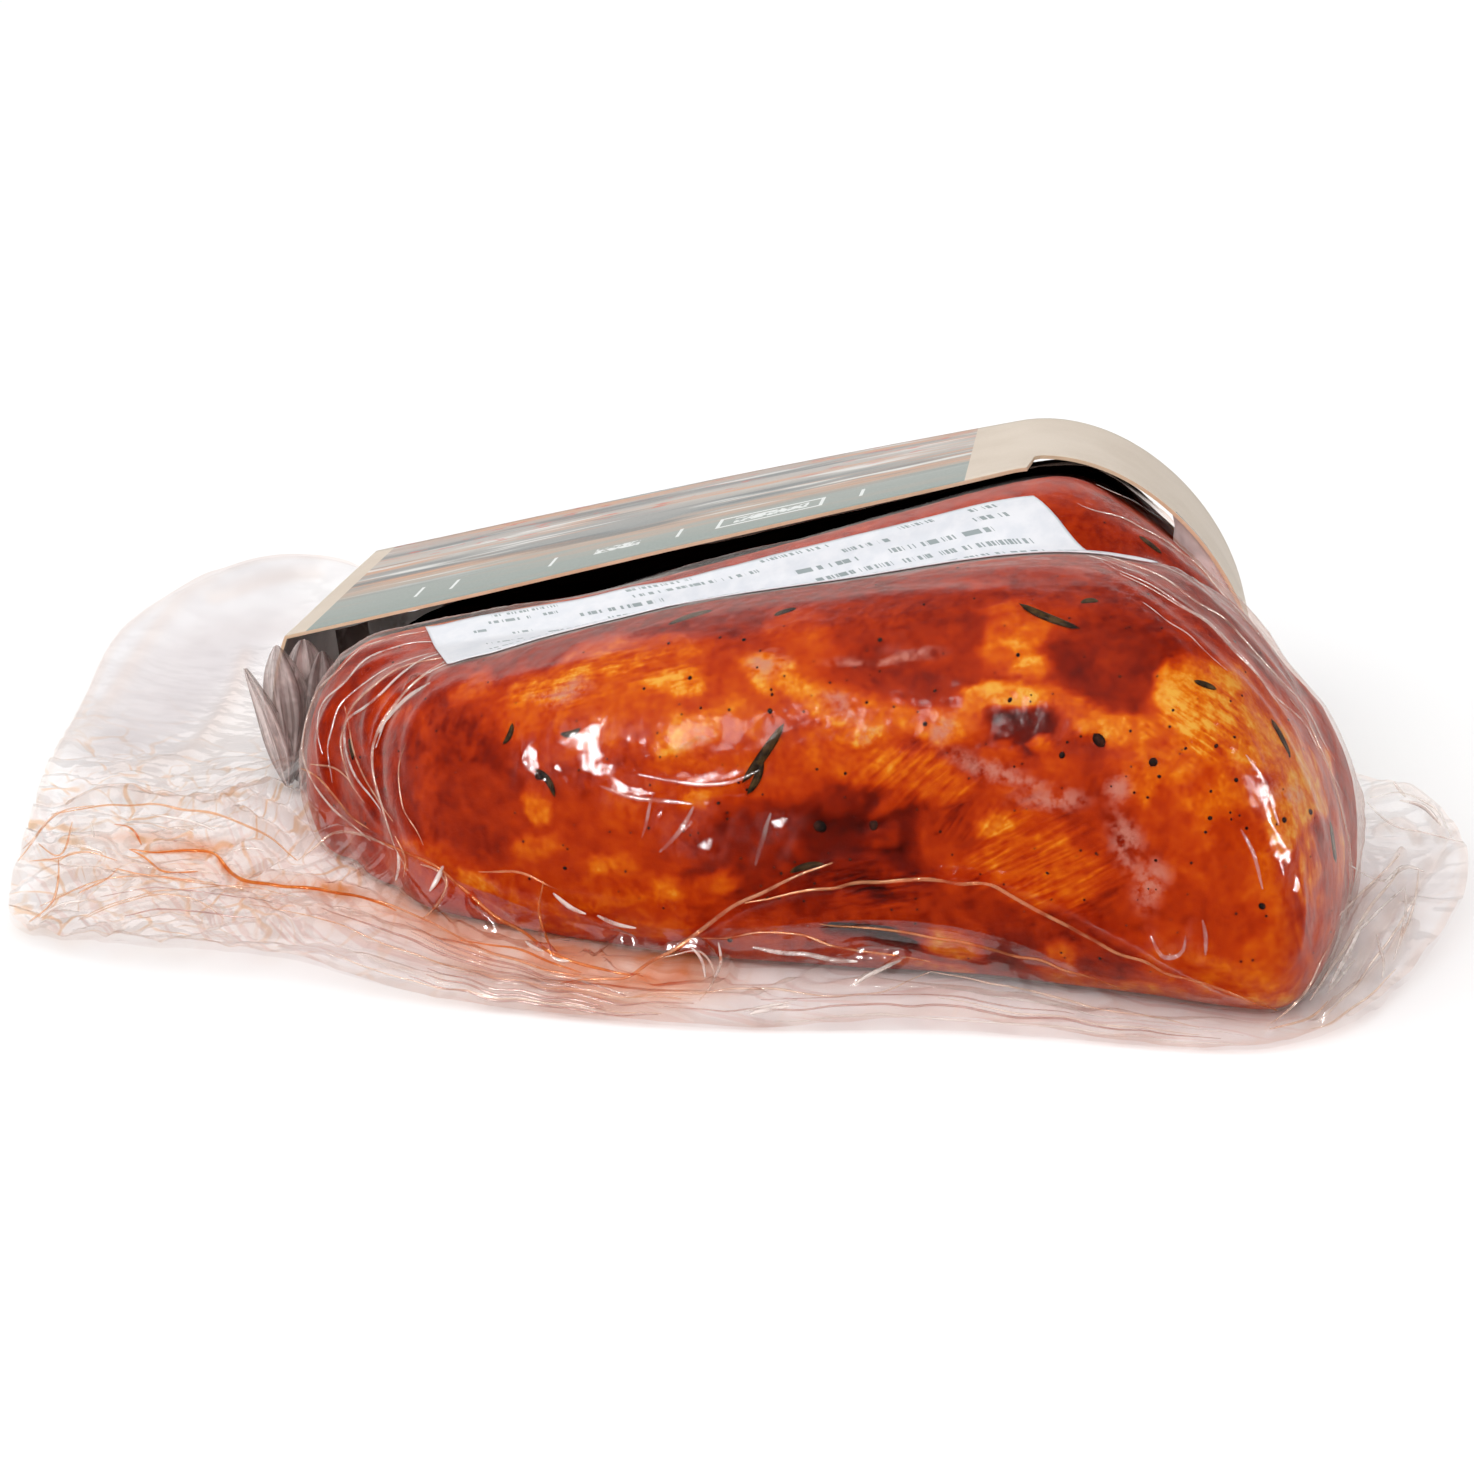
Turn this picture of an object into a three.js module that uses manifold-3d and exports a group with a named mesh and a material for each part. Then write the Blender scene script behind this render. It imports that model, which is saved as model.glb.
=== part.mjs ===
// A vacuum pack of marinated spareribs: a clear bag shrunk over two folded racks, with a crumpled
// margin all round, a price label in the valley between the racks, and a paperboard wrap that
// arches over the rear half. Millimetres, +Z up, +X to the right, +Y to the back. The origin is
// the centre of the bag's outline, on the surface it lies on.
import * as THREE from "three";
import { mergeVertices } from "three/addons/utils/BufferGeometryUtils.js";
import Module from "manifold-3d";

const wasm = await Module();
wasm.setup();

// ---- Driving dimensions ------------------------------------------------------------------

const BAG_LENGTH = 281; // edge to edge of the margin, along X
const BAG_DEPTH = 202; // edge to edge of the margin, along Y
const MARGIN_THICK = 1.9; // both webs of film with the air in their creases
const MARGIN_ROOT_LIFT = 3; // height of the margin's middle where it leaves the meat
const MARGIN_ROOT_SHARE = 0.5; // how far out from the centre the margin's hidden root lies
const MARGIN_CENTRE = [20, -5];

const BELLY_SHARE = 0.36; // height of a rack's widest line, as a share of its crest
const UNDERSIDE_SINK = 6; // how far below the table an unpressed underside would bulge
const REAR_FALL_RATE = 5; // how soon behind its crest a rack's top falls

const CARD_THICK = 0.9;
const CARD_FRONT = -5; // Y of the top panel's front edge
const CARD_REAR = 55; // Y of the rear edge
const CARD_FLAP_FRONT = 8; // Y of the right flap's front edge, set back by a notch
const CARD_NOTCH_X = 60; // where the set-back begins
const CARD_REAR_DROP = 5; // how much lower the crest lies at the rear edge
const CARD_REAR_PULL = 3; // how much nearer the left the crest and right flap lie there

const LABEL_THICK = 0.4;
const LABEL_GAP = 0.55; // clear height over the bag's smooth top

// A rack's stations along X: x, y of its front, y of its crest, y of its rear, height of its crest.
const FRONT_RACK = {
  stations: [
    [-50, -61, -47, -31, 37.5],
    [-36, -68, -50, -30, 41],
    [-17, -75, -52, -30, 47.5],
    [8, -81, -54, -30, 55],
    [35, -82, -54, -29, 60.5],
    [58, -83, -53, -27, 65],
    [74, -85, -52, -25, 66],
    [88, -87, -51, -21, 62.5],
    [99, -88, -51, -15, 53.5],
    [109, -86, -49, -12, 40.5],
    [118.5, -74, -46, -17, 28],
  ],
  squareness: 2.4,
  leftRound: 15,
  rightRound: 13,
};
const MIDDLE_FOLD = {
  stations: [
    [-60, -52, -39, -25, 35],
    [-45, -58, -42, -25, 39],
    [-20, -60, -42, -25, 44],
    [12, -60, -42, -25, 48],
    [24, -58, -42, -25, 48],
  ],
  squareness: 2.4,
  leftRound: 14,
  rightRound: 14,
};
const REAR_RACK = {
  stations: [
    [-71, -43, -24, 44, 32],
    [-60, -48, -25, 63, 36.5],
    [-46, -49, -25, 72, 40.5],
    [-15, -46, -24, 77, 48],
    [14, -45, -21, 79, 56.5],
    [39, -45, -19, 79, 64.5],
    [60, -45, -17, 79, 70.8],
    [69, -44, -16, 78, 71.2],
    [77, -44, -17, 75, 67],
    [85, -45, -19, 66, 61.5],
    [91, -45, -21, 50, 57],
    [96, -46, -22, 28, 53],
    [101, -47, -23, 4, 48.5],
    [107, -49, -25, -5, 42],
    [114, -50, -25, -9, 34.5],
    [121.5, -48, -26, -14, 25],
  ],
  squareness: 2.5,
  leftRound: 15,
  rightRound: 9,
  rearFall: 8, // the top falls this much behind the crest
};

// The margin's edge, counter-clockwise from the front left corner:
// x, y, height, depth of the folds along the edge, depth of the folds across it.
const MARGIN_EDGE = [
  [-101, -89, 2, 0.8, 0.6],
  [-80, -95, 4, 1.4, 0.2],
  [-54, -95, 4, 1.7, 0],
  [-27, -100, 2, 1.7, 0],
  [17, -101, 1, 1.5, 0],
  [58, -95, 1, 1.3, 0.2],
  [98, -95, 1, 0.9, 0.6],
  [116, -86, 1.5, 0.4, 1.6],
  [128, -66, 2, 0, 2],
  [138, -40, 5, 0, 1.8],
  [140, -18, 7, 0, 1.2],
  [134, 4, 8, 0, 0.6],
  [122, 18, 6, 0.3, 0.6],
  [115, 45, 3, 0.5, 0.6],
  [112, 75, 3, 0.5, 0.8],
  [97, 96, 3, 0.8, 1],
  [55, 101, 4, 1, 0.6],
  [0, 99, 4, 1.2, 0.4],
  [-50, 95, 5, 1, 0.8],
  [-80, 86, 9, 0.4, 0.6],
  [-102, 92, 16, 0, 0.4],
  [-122, 93, 15.5, 0, 0.3],
  [-136, 78, 12, 0, 0.4],
  [-140, 50, 10, 0.2, 0.3],
  [-132, 10, 8, 0.4, 0.3],
  [-123, -28, 8, 0.4, 0.5],
  [-113, -62, 6, 0.6, 0.9],
  [-108, -80, 3, 0.8, 0.8],
];
const EDGE_FOLD_WAVES = 2.6; // folds that run along the edge, counted across the margin
const EDGE_FOLD_START = 0.17; // where they rise, as a share of the way from root to edge
const EDGE_FOLD_END = 1.04; // where they would die out, just past the edge
const EDGE_FOLD_DRIFT = 3; // how often those folds slip by a whole wave round the bag
const ACROSS_FOLDS = 34; // folds that run out from the meat, counted round the bag

// The card's path in X and Z, from the foot of its left flap to the foot of its right flap.
const CARD_LEFT_FOOT = [-84.5, 6.4];
const CARD_LEFT_BULGE = [-87.5, 17];
const CARD_LEFT_FOLD = [-82.5, 29.4];
const CARD_PANEL_END = [57, 68.5];
const CARD_CREST_PULL = [79, 73.5];
const CARD_SHOULDER_PULL = [103.5, 49];
const CARD_RIGHT_SIDE = [104, 22];
const CARD_RIGHT_FOOT = [103.4, 6.8];

// The label's corners in X and Y: rear left, rear right, front right, front left.
const LABEL_CORNERS = [
  [-47, -29],
  [62, -28],
  [84, -47],
  [-37, -50],
];

// ---- Grids: how finely each surface is split ----------------------------------------------

const RACK_SECTIONS = 30;
const RACK_SIDES = 28;
const MARGIN_STEPS = 104;
const MARGIN_ROWS = 8;
const LABEL_COLUMNS = 26;
const LABEL_ROWS = 8;
const CARD_CURVE_STEPS = 7;
const CARD_PANEL_STEPS = 7;
const CARD_DEPTH_STEPS = 5;
const MERGE_DISTANCE = 1e-4; // vertices closer than this are one

// ---- Small helpers ------------------------------------------------------------------------

const signedPower = (value, power) => Math.sign(value) * Math.abs(value) ** power;
const clamp = THREE.MathUtils.clamp;
const lerp = THREE.MathUtils.lerp;

function indexedGeometry(positions, triangles) {
  const geometry = new THREE.BufferGeometry();
  geometry.setAttribute("position", new THREE.Float32BufferAttribute(positions, 3));
  geometry.setIndex(triangles);
  return geometry;
}

function toSolid(geometry) {
  const bare = geometry.clone();
  bare.deleteAttribute("normal");
  bare.deleteAttribute("uv");
  const merged = mergeVertices(bare, MERGE_DISTANCE);
  return new wasm.Manifold(
    new wasm.Mesh({
      numProp: 3,
      vertProperties: new Float32Array(merged.attributes.position.array),
      triVerts: new Uint32Array(merged.index.array),
    }),
  );
}

function toGeometry(solid) {
  const mesh = solid.getMesh();
  const positions = [];
  for (let i = 0; i < mesh.numVert; i++) {
    positions.push(...mesh.vertProperties.subarray(i * mesh.numProp, i * mesh.numProp + 3));
  }
  return indexedGeometry(positions, Array.from(mesh.triVerts));
}

// Two triangles for each cell of a grid of rows by columns, wound for a surface whose normal is
// the columns' direction crossed with the rows'.
function gridTriangles(rows, columns, start = 0, flipped = false) {
  const triangles = [];
  for (let r = 0; r < rows - 1; r++) {
    for (let c = 0; c < columns - 1; c++) {
      const a = start + r * columns + c;
      const b = a + 1;
      const d = a + columns;
      const e = d + 1;
      triangles.push(...(flipped ? [a, d, b, b, d, e] : [a, b, d, b, e, d]));
    }
  }
  return triangles;
}

// ---- Racks: rounded bodies lofted along X -------------------------------------------------

// The rack's measures at x, read off its stations and drawn in towards its two ends.
function rackSection(rack, x) {
  const { stations, leftRound, rightRound } = rack;
  rack.curve ??= new THREE.CubicInterpolant(
    stations.map((s) => s[0]),
    stations.flatMap((s) => s.slice(1)),
    4,
  );
  const [front, crest, rear, top] = rack.curve.evaluate(x);
  const left = stations[0][0];
  const right = stations.at(-1)[0];
  const inset = Math.max((left + leftRound - x) / leftRound, (x - right + rightRound) / rightRound, 0);
  const share = (1 - Math.min(inset, 1) ** rack.squareness) ** (1 / rack.squareness);
  return { front, crest, rear, top, belly: top * BELLY_SHARE, share };
}

function rearFall(rack, section, y) {
  const back = clamp((y - section.crest) / (section.rear - section.crest), 0, 1);
  return (rack.rearFall ?? 0) * (1 - Math.exp(-REAR_FALL_RATE * back));
}

function rackPoint(rack, x, angle) {
  const s = rackSection(rack, x);
  const across = signedPower(Math.cos(angle), 2 / rack.squareness);
  const upward = signedPower(Math.sin(angle), 2 / rack.squareness);
  const y = s.crest + s.share * across * (across < 0 ? s.crest - s.front : s.rear - s.crest);
  const reach = upward > 0 ? s.top - s.belly : s.belly + UNDERSIDE_SINK;
  const fall = upward > 0 ? upward * rearFall(rack, s, y) * s.share : 0;
  return [x, y, Math.max(s.belly + s.share * upward * reach - fall, 0)];
}

// Height of the rack's smooth top above the point x, y, or 0 beside it.
function rackTop(rack, x, y) {
  const s = rackSection(rack, x);
  const reach = s.share * (y < s.crest ? s.crest - s.front : s.rear - s.crest);
  const out = reach > 0 ? Math.abs(y - s.crest) / reach : 1;
  if (out >= 1) return 0;
  const upward = (1 - out ** rack.squareness) ** (1 / rack.squareness);
  return s.belly + s.share * upward * (s.top - s.belly - rearFall(rack, s, y));
}

function rackSolid(rack) {
  const left = rack.stations[0][0];
  const right = rack.stations.at(-1)[0];
  const tip = (x) => rackPoint(rack, x, 0);
  const positions = [...tip(left)];
  for (let i = 1; i < RACK_SECTIONS; i++) {
    const x = lerp(left, right, (1 - Math.cos((Math.PI * i) / RACK_SECTIONS)) / 2);
    for (let j = 0; j < RACK_SIDES; j++) {
      positions.push(...rackPoint(rack, x, (2 * Math.PI * j) / RACK_SIDES));
    }
  }
  positions.push(...tip(right));
  const triangles = [];
  const last = positions.length / 3 - 1;
  const vertex = (ring, j) => 1 + ring * RACK_SIDES + (j % RACK_SIDES);
  for (let j = 0; j < RACK_SIDES; j++) {
    triangles.push(0, vertex(0, j + 1), vertex(0, j));
    for (let ring = 0; ring < RACK_SECTIONS - 2; ring++) {
      const a = vertex(ring, j);
      const b = vertex(ring, j + 1);
      const c = vertex(ring + 1, j);
      const d = vertex(ring + 1, j + 1);
      triangles.push(a, b, c, b, d, c);
    }
    triangles.push(last, vertex(RACK_SECTIONS - 2, j), vertex(RACK_SECTIONS - 2, j + 1));
  }
  return toSolid(indexedGeometry(positions, triangles));
}

// ---- Margin: the crumpled film that lies round the meat ------------------------------------

// A closed smooth curve through the edge's rows, for u from 0 to 1, in all five measures.
function edgeAt(u) {
  const count = MARGIN_EDGE.length;
  const at = u * count;
  const i = Math.floor(at);
  const t = at - i;
  const row = (k) => MARGIN_EDGE[(i + k + count) % count];
  return MARGIN_EDGE[0].map((_, n) => {
    const [a, b, c, d] = [row(-1)[n], row(0)[n], row(1)[n], row(2)[n]];
    const bend = (2 * a - 5 * b + 4 * c - d) * t ** 2 + (3 * b - a - 3 * c + d) * t ** 3;
    return (2 * b + (c - a) * t + bend) / 2;
  });
}

// The edge at even steps, stretched to the bag's length and depth about the origin.
function marginEdge() {
  const points = [];
  for (let i = 0; i < MARGIN_STEPS; i++) points.push(edgeAt(i / MARGIN_STEPS));
  [BAG_LENGTH, BAG_DEPTH].forEach((size, n) => {
    const low = Math.min(...points.map((p) => p[n]));
    const high = Math.max(...points.map((p) => p[n]));
    for (const p of points) p[n] = ((p[n] - (low + high) / 2) * size) / (high - low);
  });
  return points;
}

function marginSolid() {
  const top = [];
  const bottom = [];
  marginEdge().forEach(([x, y, lift, along, across], i) => {
    const round = i / MARGIN_STEPS;
    for (let r = 0; r < MARGIN_ROWS; r++) {
      const out = r / (MARGIN_ROWS - 1);
      const share = lerp(MARGIN_ROOT_SHARE, 1, out);
      const within = clamp((out - EDGE_FOLD_START) / (EDGE_FOLD_END - EDGE_FOLD_START), 0, 1);
      const fade = Math.sqrt(Math.sin(Math.PI * within));
      const waves = 2 * Math.PI * (EDGE_FOLD_WAVES * out + EDGE_FOLD_DRIFT * round);
      const folds =
        along * fade * Math.sin(waves) +
        across * out * Math.sin(2 * Math.PI * ACROSS_FOLDS * round);
      const middle = lerp(MARGIN_ROOT_LIFT, lift, out ** 2) + folds;
      const low = Math.max(middle - MARGIN_THICK / 2, 0);
      const px = lerp(MARGIN_CENTRE[0], x, share);
      const py = lerp(MARGIN_CENTRE[1], y, share);
      top.push([px, py, low + MARGIN_THICK]);
      bottom.push([px, py, low]);
    }
  });
  const rings = [];
  for (let i = 0; i <= MARGIN_STEPS; i++) {
    const start = (i % MARGIN_STEPS) * MARGIN_ROWS;
    const upper = top.slice(start, start + MARGIN_ROWS);
    const lower = bottom.slice(start, start + MARGIN_ROWS).reverse();
    rings.push(...upper, ...lower, upper[0]);
  }
  const geometry = indexedGeometry(
    rings.flat(),
    gridTriangles(MARGIN_STEPS + 1, 2 * MARGIN_ROWS + 1),
  );
  return toSolid(geometry);
}

function bagGeometry() {
  const racks = [REAR_RACK, MIDDLE_FOLD, FRONT_RACK].map(rackSolid);
  return toGeometry(racks.reduce((joined, rack) => joined.add(rack), marginSolid()));
}

// ---- Label: a thin sheet draped on the bag's top -------------------------------------------

const bagTop = (x, y) =>
  Math.max(rackTop(FRONT_RACK, x, y), rackTop(MIDDLE_FOLD, x, y), rackTop(REAR_RACK, x, y));

function labelGeometry() {
  const [rearLeft, rearRight, frontRight, frontLeft] = LABEL_CORNERS;
  const positions = [];
  for (const lift of [LABEL_GAP, LABEL_GAP + LABEL_THICK]) {
    for (let r = 0; r < LABEL_ROWS; r++) {
      const forward = r / (LABEL_ROWS - 1);
      for (let c = 0; c < LABEL_COLUMNS; c++) {
        const along = c / (LABEL_COLUMNS - 1);
        const [x, y] = [0, 1].map((n) =>
          lerp(
            lerp(rearLeft[n], rearRight[n], along),
            lerp(frontLeft[n], frontRight[n], along),
            forward,
          ),
        );
        positions.push(x, y, bagTop(x, y) + lift);
      }
    }
  }
  const layer = LABEL_ROWS * LABEL_COLUMNS;
  const triangles = [
    ...gridTriangles(LABEL_ROWS, LABEL_COLUMNS, 0, false),
    ...gridTriangles(LABEL_ROWS, LABEL_COLUMNS, layer, true),
    ...rimTriangles(LABEL_ROWS, LABEL_COLUMNS, layer),
  ];
  return indexedGeometry(positions, triangles);
}

// The narrow wall between two layers of a grid, all the way round.
function rimTriangles(rows, columns, layer) {
  const rim = [];
  for (let c = 0; c < columns - 1; c++) rim.push(c);
  for (let r = 0; r < rows - 1; r++) rim.push(r * columns + columns - 1);
  for (let c = columns - 1; c > 0; c--) rim.push((rows - 1) * columns + c);
  for (let r = rows - 1; r > 0; r--) rim.push(r * columns);
  return rim.flatMap((a, i) => {
    const b = rim[(i + 1) % rim.length];
    return [a, a + layer, b, b, a + layer, b + layer];
  });
}

// ---- Card wrap: a bent strip of paperboard --------------------------------------------------

function cardPath() {
  const vector = (p) => new THREE.Vector2(...p);
  const leftFlap = new THREE.QuadraticBezierCurve(
    vector(CARD_LEFT_FOOT),
    vector(CARD_LEFT_BULGE),
    vector(CARD_LEFT_FOLD),
  );
  const rightFlap = new THREE.CubicBezierCurve(
    vector(CARD_PANEL_END),
    vector(CARD_CREST_PULL),
    vector(CARD_SHOULDER_PULL),
    vector(CARD_RIGHT_SIDE),
  );
  const panel = new THREE.LineCurve(vector(CARD_LEFT_FOLD), vector(CARD_PANEL_END));
  return [
    ...leftFlap.getPoints(CARD_CURVE_STEPS),
    ...panel.getPoints(CARD_PANEL_STEPS).slice(1, -1),
    ...rightFlap.getPoints(2 * CARD_CURVE_STEPS),
    vector(CARD_RIGHT_FOOT),
  ];
}

// The path shifted sideways by a distance, along the normal at each of its points.
function offsetPath(path, distance) {
  return path.map((point, i) => {
    const before = path[Math.max(i - 1, 0)];
    const after = path[Math.min(i + 1, path.length - 1)];
    const into = point.clone().sub(before).normalize();
    const away = after.clone().sub(point).normalize();
    const along = into.add(away).normalize();
    return new THREE.Vector2(point.x - along.y * distance, point.y + along.x * distance);
  });
}

// The wrap's right end lies lower and further in at the rear edge than at the front.
function twistToRear(points) {
  for (let i = 0; i < points.count; i++) {
    const back = (points.getY(i) - CARD_FRONT) / (CARD_REAR - CARD_FRONT);
    const right = (points.getX(i) - CARD_LEFT_FOLD[0]) / (CARD_PANEL_END[0] - CARD_LEFT_FOLD[0]);
    const share = back * clamp(right, 0, 1);
    const high = points.getZ(i) / CARD_PANEL_END[1];
    points.setX(i, points.getX(i) - share * CARD_REAR_PULL);
    points.setZ(i, points.getZ(i) - share * high * CARD_REAR_DROP);
  }
}

function cardGeometry() {
  const path = cardPath();
  const outline = new THREE.Shape([
    ...offsetPath(path, CARD_THICK / 2),
    ...offsetPath(path, -CARD_THICK / 2).reverse(),
  ]);
  const depth = CARD_REAR - CARD_FRONT;
  const steps = CARD_DEPTH_STEPS;
  const strip = new THREE.ExtrudeGeometry(outline, { depth, steps, bevelEnabled: false });
  strip.rotateX(Math.PI / 2).translate(0, CARD_REAR, 0);
  twistToRear(strip.attributes.position);

  const notchDepth = CARD_FLAP_FRONT - CARD_FRONT;
  const notch = new THREE.BoxGeometry(BAG_LENGTH, 2 * notchDepth, BAG_LENGTH);
  notch.translate(CARD_NOTCH_X + BAG_LENGTH / 2, CARD_FRONT, 0);
  return toGeometry(toSolid(strip).subtract(toSolid(notch)));
}

// ---- The pack -------------------------------------------------------------------------------

function piece(name, geometry, color, roughness) {
  geometry.computeVertexNormals();
  const material = new THREE.MeshStandardMaterial({ color, roughness, metalness: 0 });
  const mesh = new THREE.Mesh(geometry, material);
  mesh.name = name;
  return mesh;
}

const pack = new THREE.Group();
pack.add(piece("bag", bagGeometry(), 0xa8401a, 0.2));
pack.add(piece("price_label", labelGeometry(), 0xeceef0, 0.5));
pack.add(piece("card_wrap", cardGeometry(), 0xc3bdb6, 0.6));

export default pack;
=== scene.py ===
# A vacuum pack of marinated spareribs: marinated rib racks under shrunk clear film, the bag's
# crumpled margin in two webs, a paper price label and a printed paperboard wrap. Shapes are worked
# out in millimetres in the frame's own axes and turned into metres when a mesh is made.
import math

import bpy
import numpy as np
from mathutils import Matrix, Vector
from mathutils.bvhtree import BVHTree


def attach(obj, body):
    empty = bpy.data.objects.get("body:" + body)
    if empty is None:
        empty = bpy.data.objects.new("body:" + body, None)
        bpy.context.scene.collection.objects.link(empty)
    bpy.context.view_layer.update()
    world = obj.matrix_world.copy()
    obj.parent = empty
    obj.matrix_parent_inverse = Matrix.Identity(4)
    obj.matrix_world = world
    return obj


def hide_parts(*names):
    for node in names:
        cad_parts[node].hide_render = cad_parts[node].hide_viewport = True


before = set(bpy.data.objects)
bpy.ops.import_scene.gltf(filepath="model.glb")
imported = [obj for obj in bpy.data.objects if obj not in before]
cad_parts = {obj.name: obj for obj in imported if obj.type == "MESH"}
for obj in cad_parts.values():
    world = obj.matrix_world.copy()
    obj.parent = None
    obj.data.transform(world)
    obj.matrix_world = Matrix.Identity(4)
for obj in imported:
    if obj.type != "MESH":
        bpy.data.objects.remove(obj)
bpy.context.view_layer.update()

MM = 0.001
SEED = 7

# ---- The picture: where the viewer stands ----

PICTURE_SIZE = 1474  # pixels each way; every "picture" position below is in this frame
FOCAL_PIXELS = 2700
EYE = np.array([90.0, -480.0, 190.0])
TILT_DOWN = math.radians(20)
TURN_LEFT = math.radians(10)
SENSOR = 36.0

# ---- The lights whose reflections show on the film ----

KEY_PLACE = (-430, -860, 480)
STRIP_PLACE = (980, -280, 440)

# ---- Driving dimensions, as in the frame's source ----

BAG_LENGTH = 281
BAG_DEPTH = 202
MARGIN_CENTRE = np.array([20.0, -5.0])
BELLY_SHARE = 0.36
UNDERSIDE_SINK = 6
REAR_FALL_RATE = 5

# A rack's stations along X: x, y of its front, y of its crest, y of its rear, height of its crest.
FRONT_RACK = {
    "stations": [
        (-50, -61, -47, -31, 37.5),
        (-36, -68, -50, -30, 41),
        (-17, -75, -52, -30, 47.5),
        (8, -81, -54, -30, 55),
        (35, -82, -54, -29, 60.5),
        (58, -83, -53, -27, 65),
        (74, -85, -52, -25, 66),
        (88, -87, -51, -21, 62.5),
        (99, -88, -51, -15, 53.5),
        (109, -86, -49, -12, 40.5),
        (118.5, -74, -46, -17, 28),
    ],
    "squareness": 2.4, "left_round": 15, "right_round": 13, "rear_fall": 0,
}
MIDDLE_FOLD = {
    "stations": [
        (-60, -52, -39, -25, 35),
        (-45, -58, -42, -25, 39),
        (-20, -60, -42, -25, 44),
        (12, -60, -42, -25, 48),
        (24, -58, -42, -25, 48),
    ],
    "squareness": 2.4, "left_round": 14, "right_round": 14, "rear_fall": 0,
}
REAR_RACK = {
    "stations": [
        (-71, -43, -24, 44, 32),
        (-60, -48, -25, 63, 36.5),
        (-46, -49, -25, 72, 40.5),
        (-15, -46, -24, 77, 48),
        (14, -45, -21, 79, 56.5),
        (39, -45, -19, 79, 64.5),
        (60, -45, -17, 79, 70.8),
        (69, -44, -16, 78, 71.2),
        (77, -44, -17, 75, 67),
        (85, -45, -19, 66, 61.5),
        (91, -45, -21, 50, 57),
        (96, -46, -22, 28, 53),
        (101, -47, -23, 4, 48.5),
        (107, -49, -25, -5, 42),
        (114, -50, -25, -9, 34.5),
        (121.5, -48, -26, -14, 25),
    ],
    "squareness": 2.5, "left_round": 15, "right_round": 9, "rear_fall": 8,
}
RACKS = [REAR_RACK, MIDDLE_FOLD, FRONT_RACK]

# The margin's edge, counter-clockwise from the front left corner:
# x, y, height, depth of the folds along the edge, depth of the folds across it, height at which
# the web leaves the meat, how crackled it is, how much marinade stains it.
MARGIN_EDGE = np.array([
    (-101, -89, 2, 0.8, 0.6, 12, 1.0, 0.8),
    (-80, -95, 4, 1.4, 0.2, 12, 0.8, 0.9),
    (-54, -95, 4, 1.7, 0, 10, 0.4, 0.9),
    (-27, -100, 2, 1.7, 0, 6, 0.2, 0.6),
    (17, -101, 1, 1.5, 0, 9, 0.1, 0.25),
    (58, -95, 1, 1.3, 0.2, 13, 0.1, 0.25),
    (98, -95, 1, 0.9, 0.6, 5, 0.1, 0.3),
    (116, -86, 1.5, 0.4, 1.6, 5, 0.1, 0.3),
    (128, -66, 2, 0, 2, 6, 0.1, 0.2),
    (138, -40, 5, 0, 1.8, 8, 0.1, 0.1),
    (140, -18, 7, 0, 1.2, 8, 0.1, 0.1),
    (134, 4, 8, 0, 0.6, 8, 0.1, 0.1),
    (122, 18, 6, 0.3, 0.6, 8, 0.2, 0.1),
    (115, 45, 3, 0.5, 0.6, 8, 0.3, 0.1),
    (112, 75, 3, 0.5, 0.8, 8, 0.4, 0.1),
    (97, 96, 3, 0.8, 1, 8, 0.4, 0.2),
    (55, 101, 4, 1, 0.6, 7, 0.3, 0.2),
    (0, 99, 4, 1.2, 0.4, 7, 0.3, 0.2),
    (-50, 95, 5, 1, 0.8, 7, 0.3, 0.2),
    (-80, 86, 9, 0.4, 0.6, 8, 0.2, 0.1),
    (-102, 92, 16, 0, 0.4, 8, 0.1, 0),
    (-122, 93, 15.5, 0, 0.15, 8, 0, 0),
    (-136, 78, 12, 0, 0.15, 8, 0, 0),
    (-140, 50, 10, 0.1, 0.1, 9, 0, 0),
    (-132, 10, 8, 0.2, 0.1, 13, 0.12, 0),
    (-123, -28, 8, 0.4, 0.4, 17, 0.75, 0.5),
    (-113, -62, 6, 0.6, 0.9, 15, 1.0, 0.9),
    (-108, -80, 3, 0.8, 0.8, 13, 1.0, 0.9),
], dtype=float)

CARD_FRONT = -5
CARD_REAR = 55
CARD_FLAP_FRONT = 8
CARD_NOTCH_X = 60
CARD_REAR_DROP = 5
CARD_REAR_PULL = 3
CARD_LEFT_FLAP = [(-84.5, 6.4), (-87.5, 17), (-82.5, 29.4)]
CARD_SHOULDER = [(57, 68.5), (79, 73.5), (103.5, 49), (104, 22)]
CARD_RIGHT_FOOT = (103.4, 6.8)

# Rear left, rear right, front right, front left.
LABEL_CORNERS = [(-47, -29), (62, -28), (84, -47), (-37, -50)]

# ---- Small helpers ----


def smoothstep(low, high, value):
    t = np.clip((value - low) / (high - low), 0, 1)
    return t * t * (3 - 2 * t)


def within(value, start, full, still, end):
    """1 from full to still, easing to 0 at start and at end."""
    return smoothstep(start, full, value) * smoothstep(end, still, value)


def lerp(a, b, t):
    return a + (b - a) * t


def signed_power(value, power):
    return np.sign(value) * np.abs(value) ** power


NOISE_START = 1000.0  # keeps the cells' numbers above zero
FAR = 9.0  # more than any distance between neighbouring cells


def hashed(cells, seed):
    """A fixed random number from 0 to 1 for each row of whole numbers."""
    mixed = np.full(len(cells), (seed * 374761393 + 1013904223) % 2**32, dtype=np.uint64)
    for column, prime in zip(cells.T, (73856093, 19349663, 83492791)):
        mixed = (mixed ^ (column.astype(np.int64) * prime).astype(np.uint64)) * np.uint64(2654435761)
        mixed = (mixed ^ (mixed >> np.uint64(15))) & np.uint64(0xFFFFFFFF)
    return mixed.astype(float) / 2**32


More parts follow.
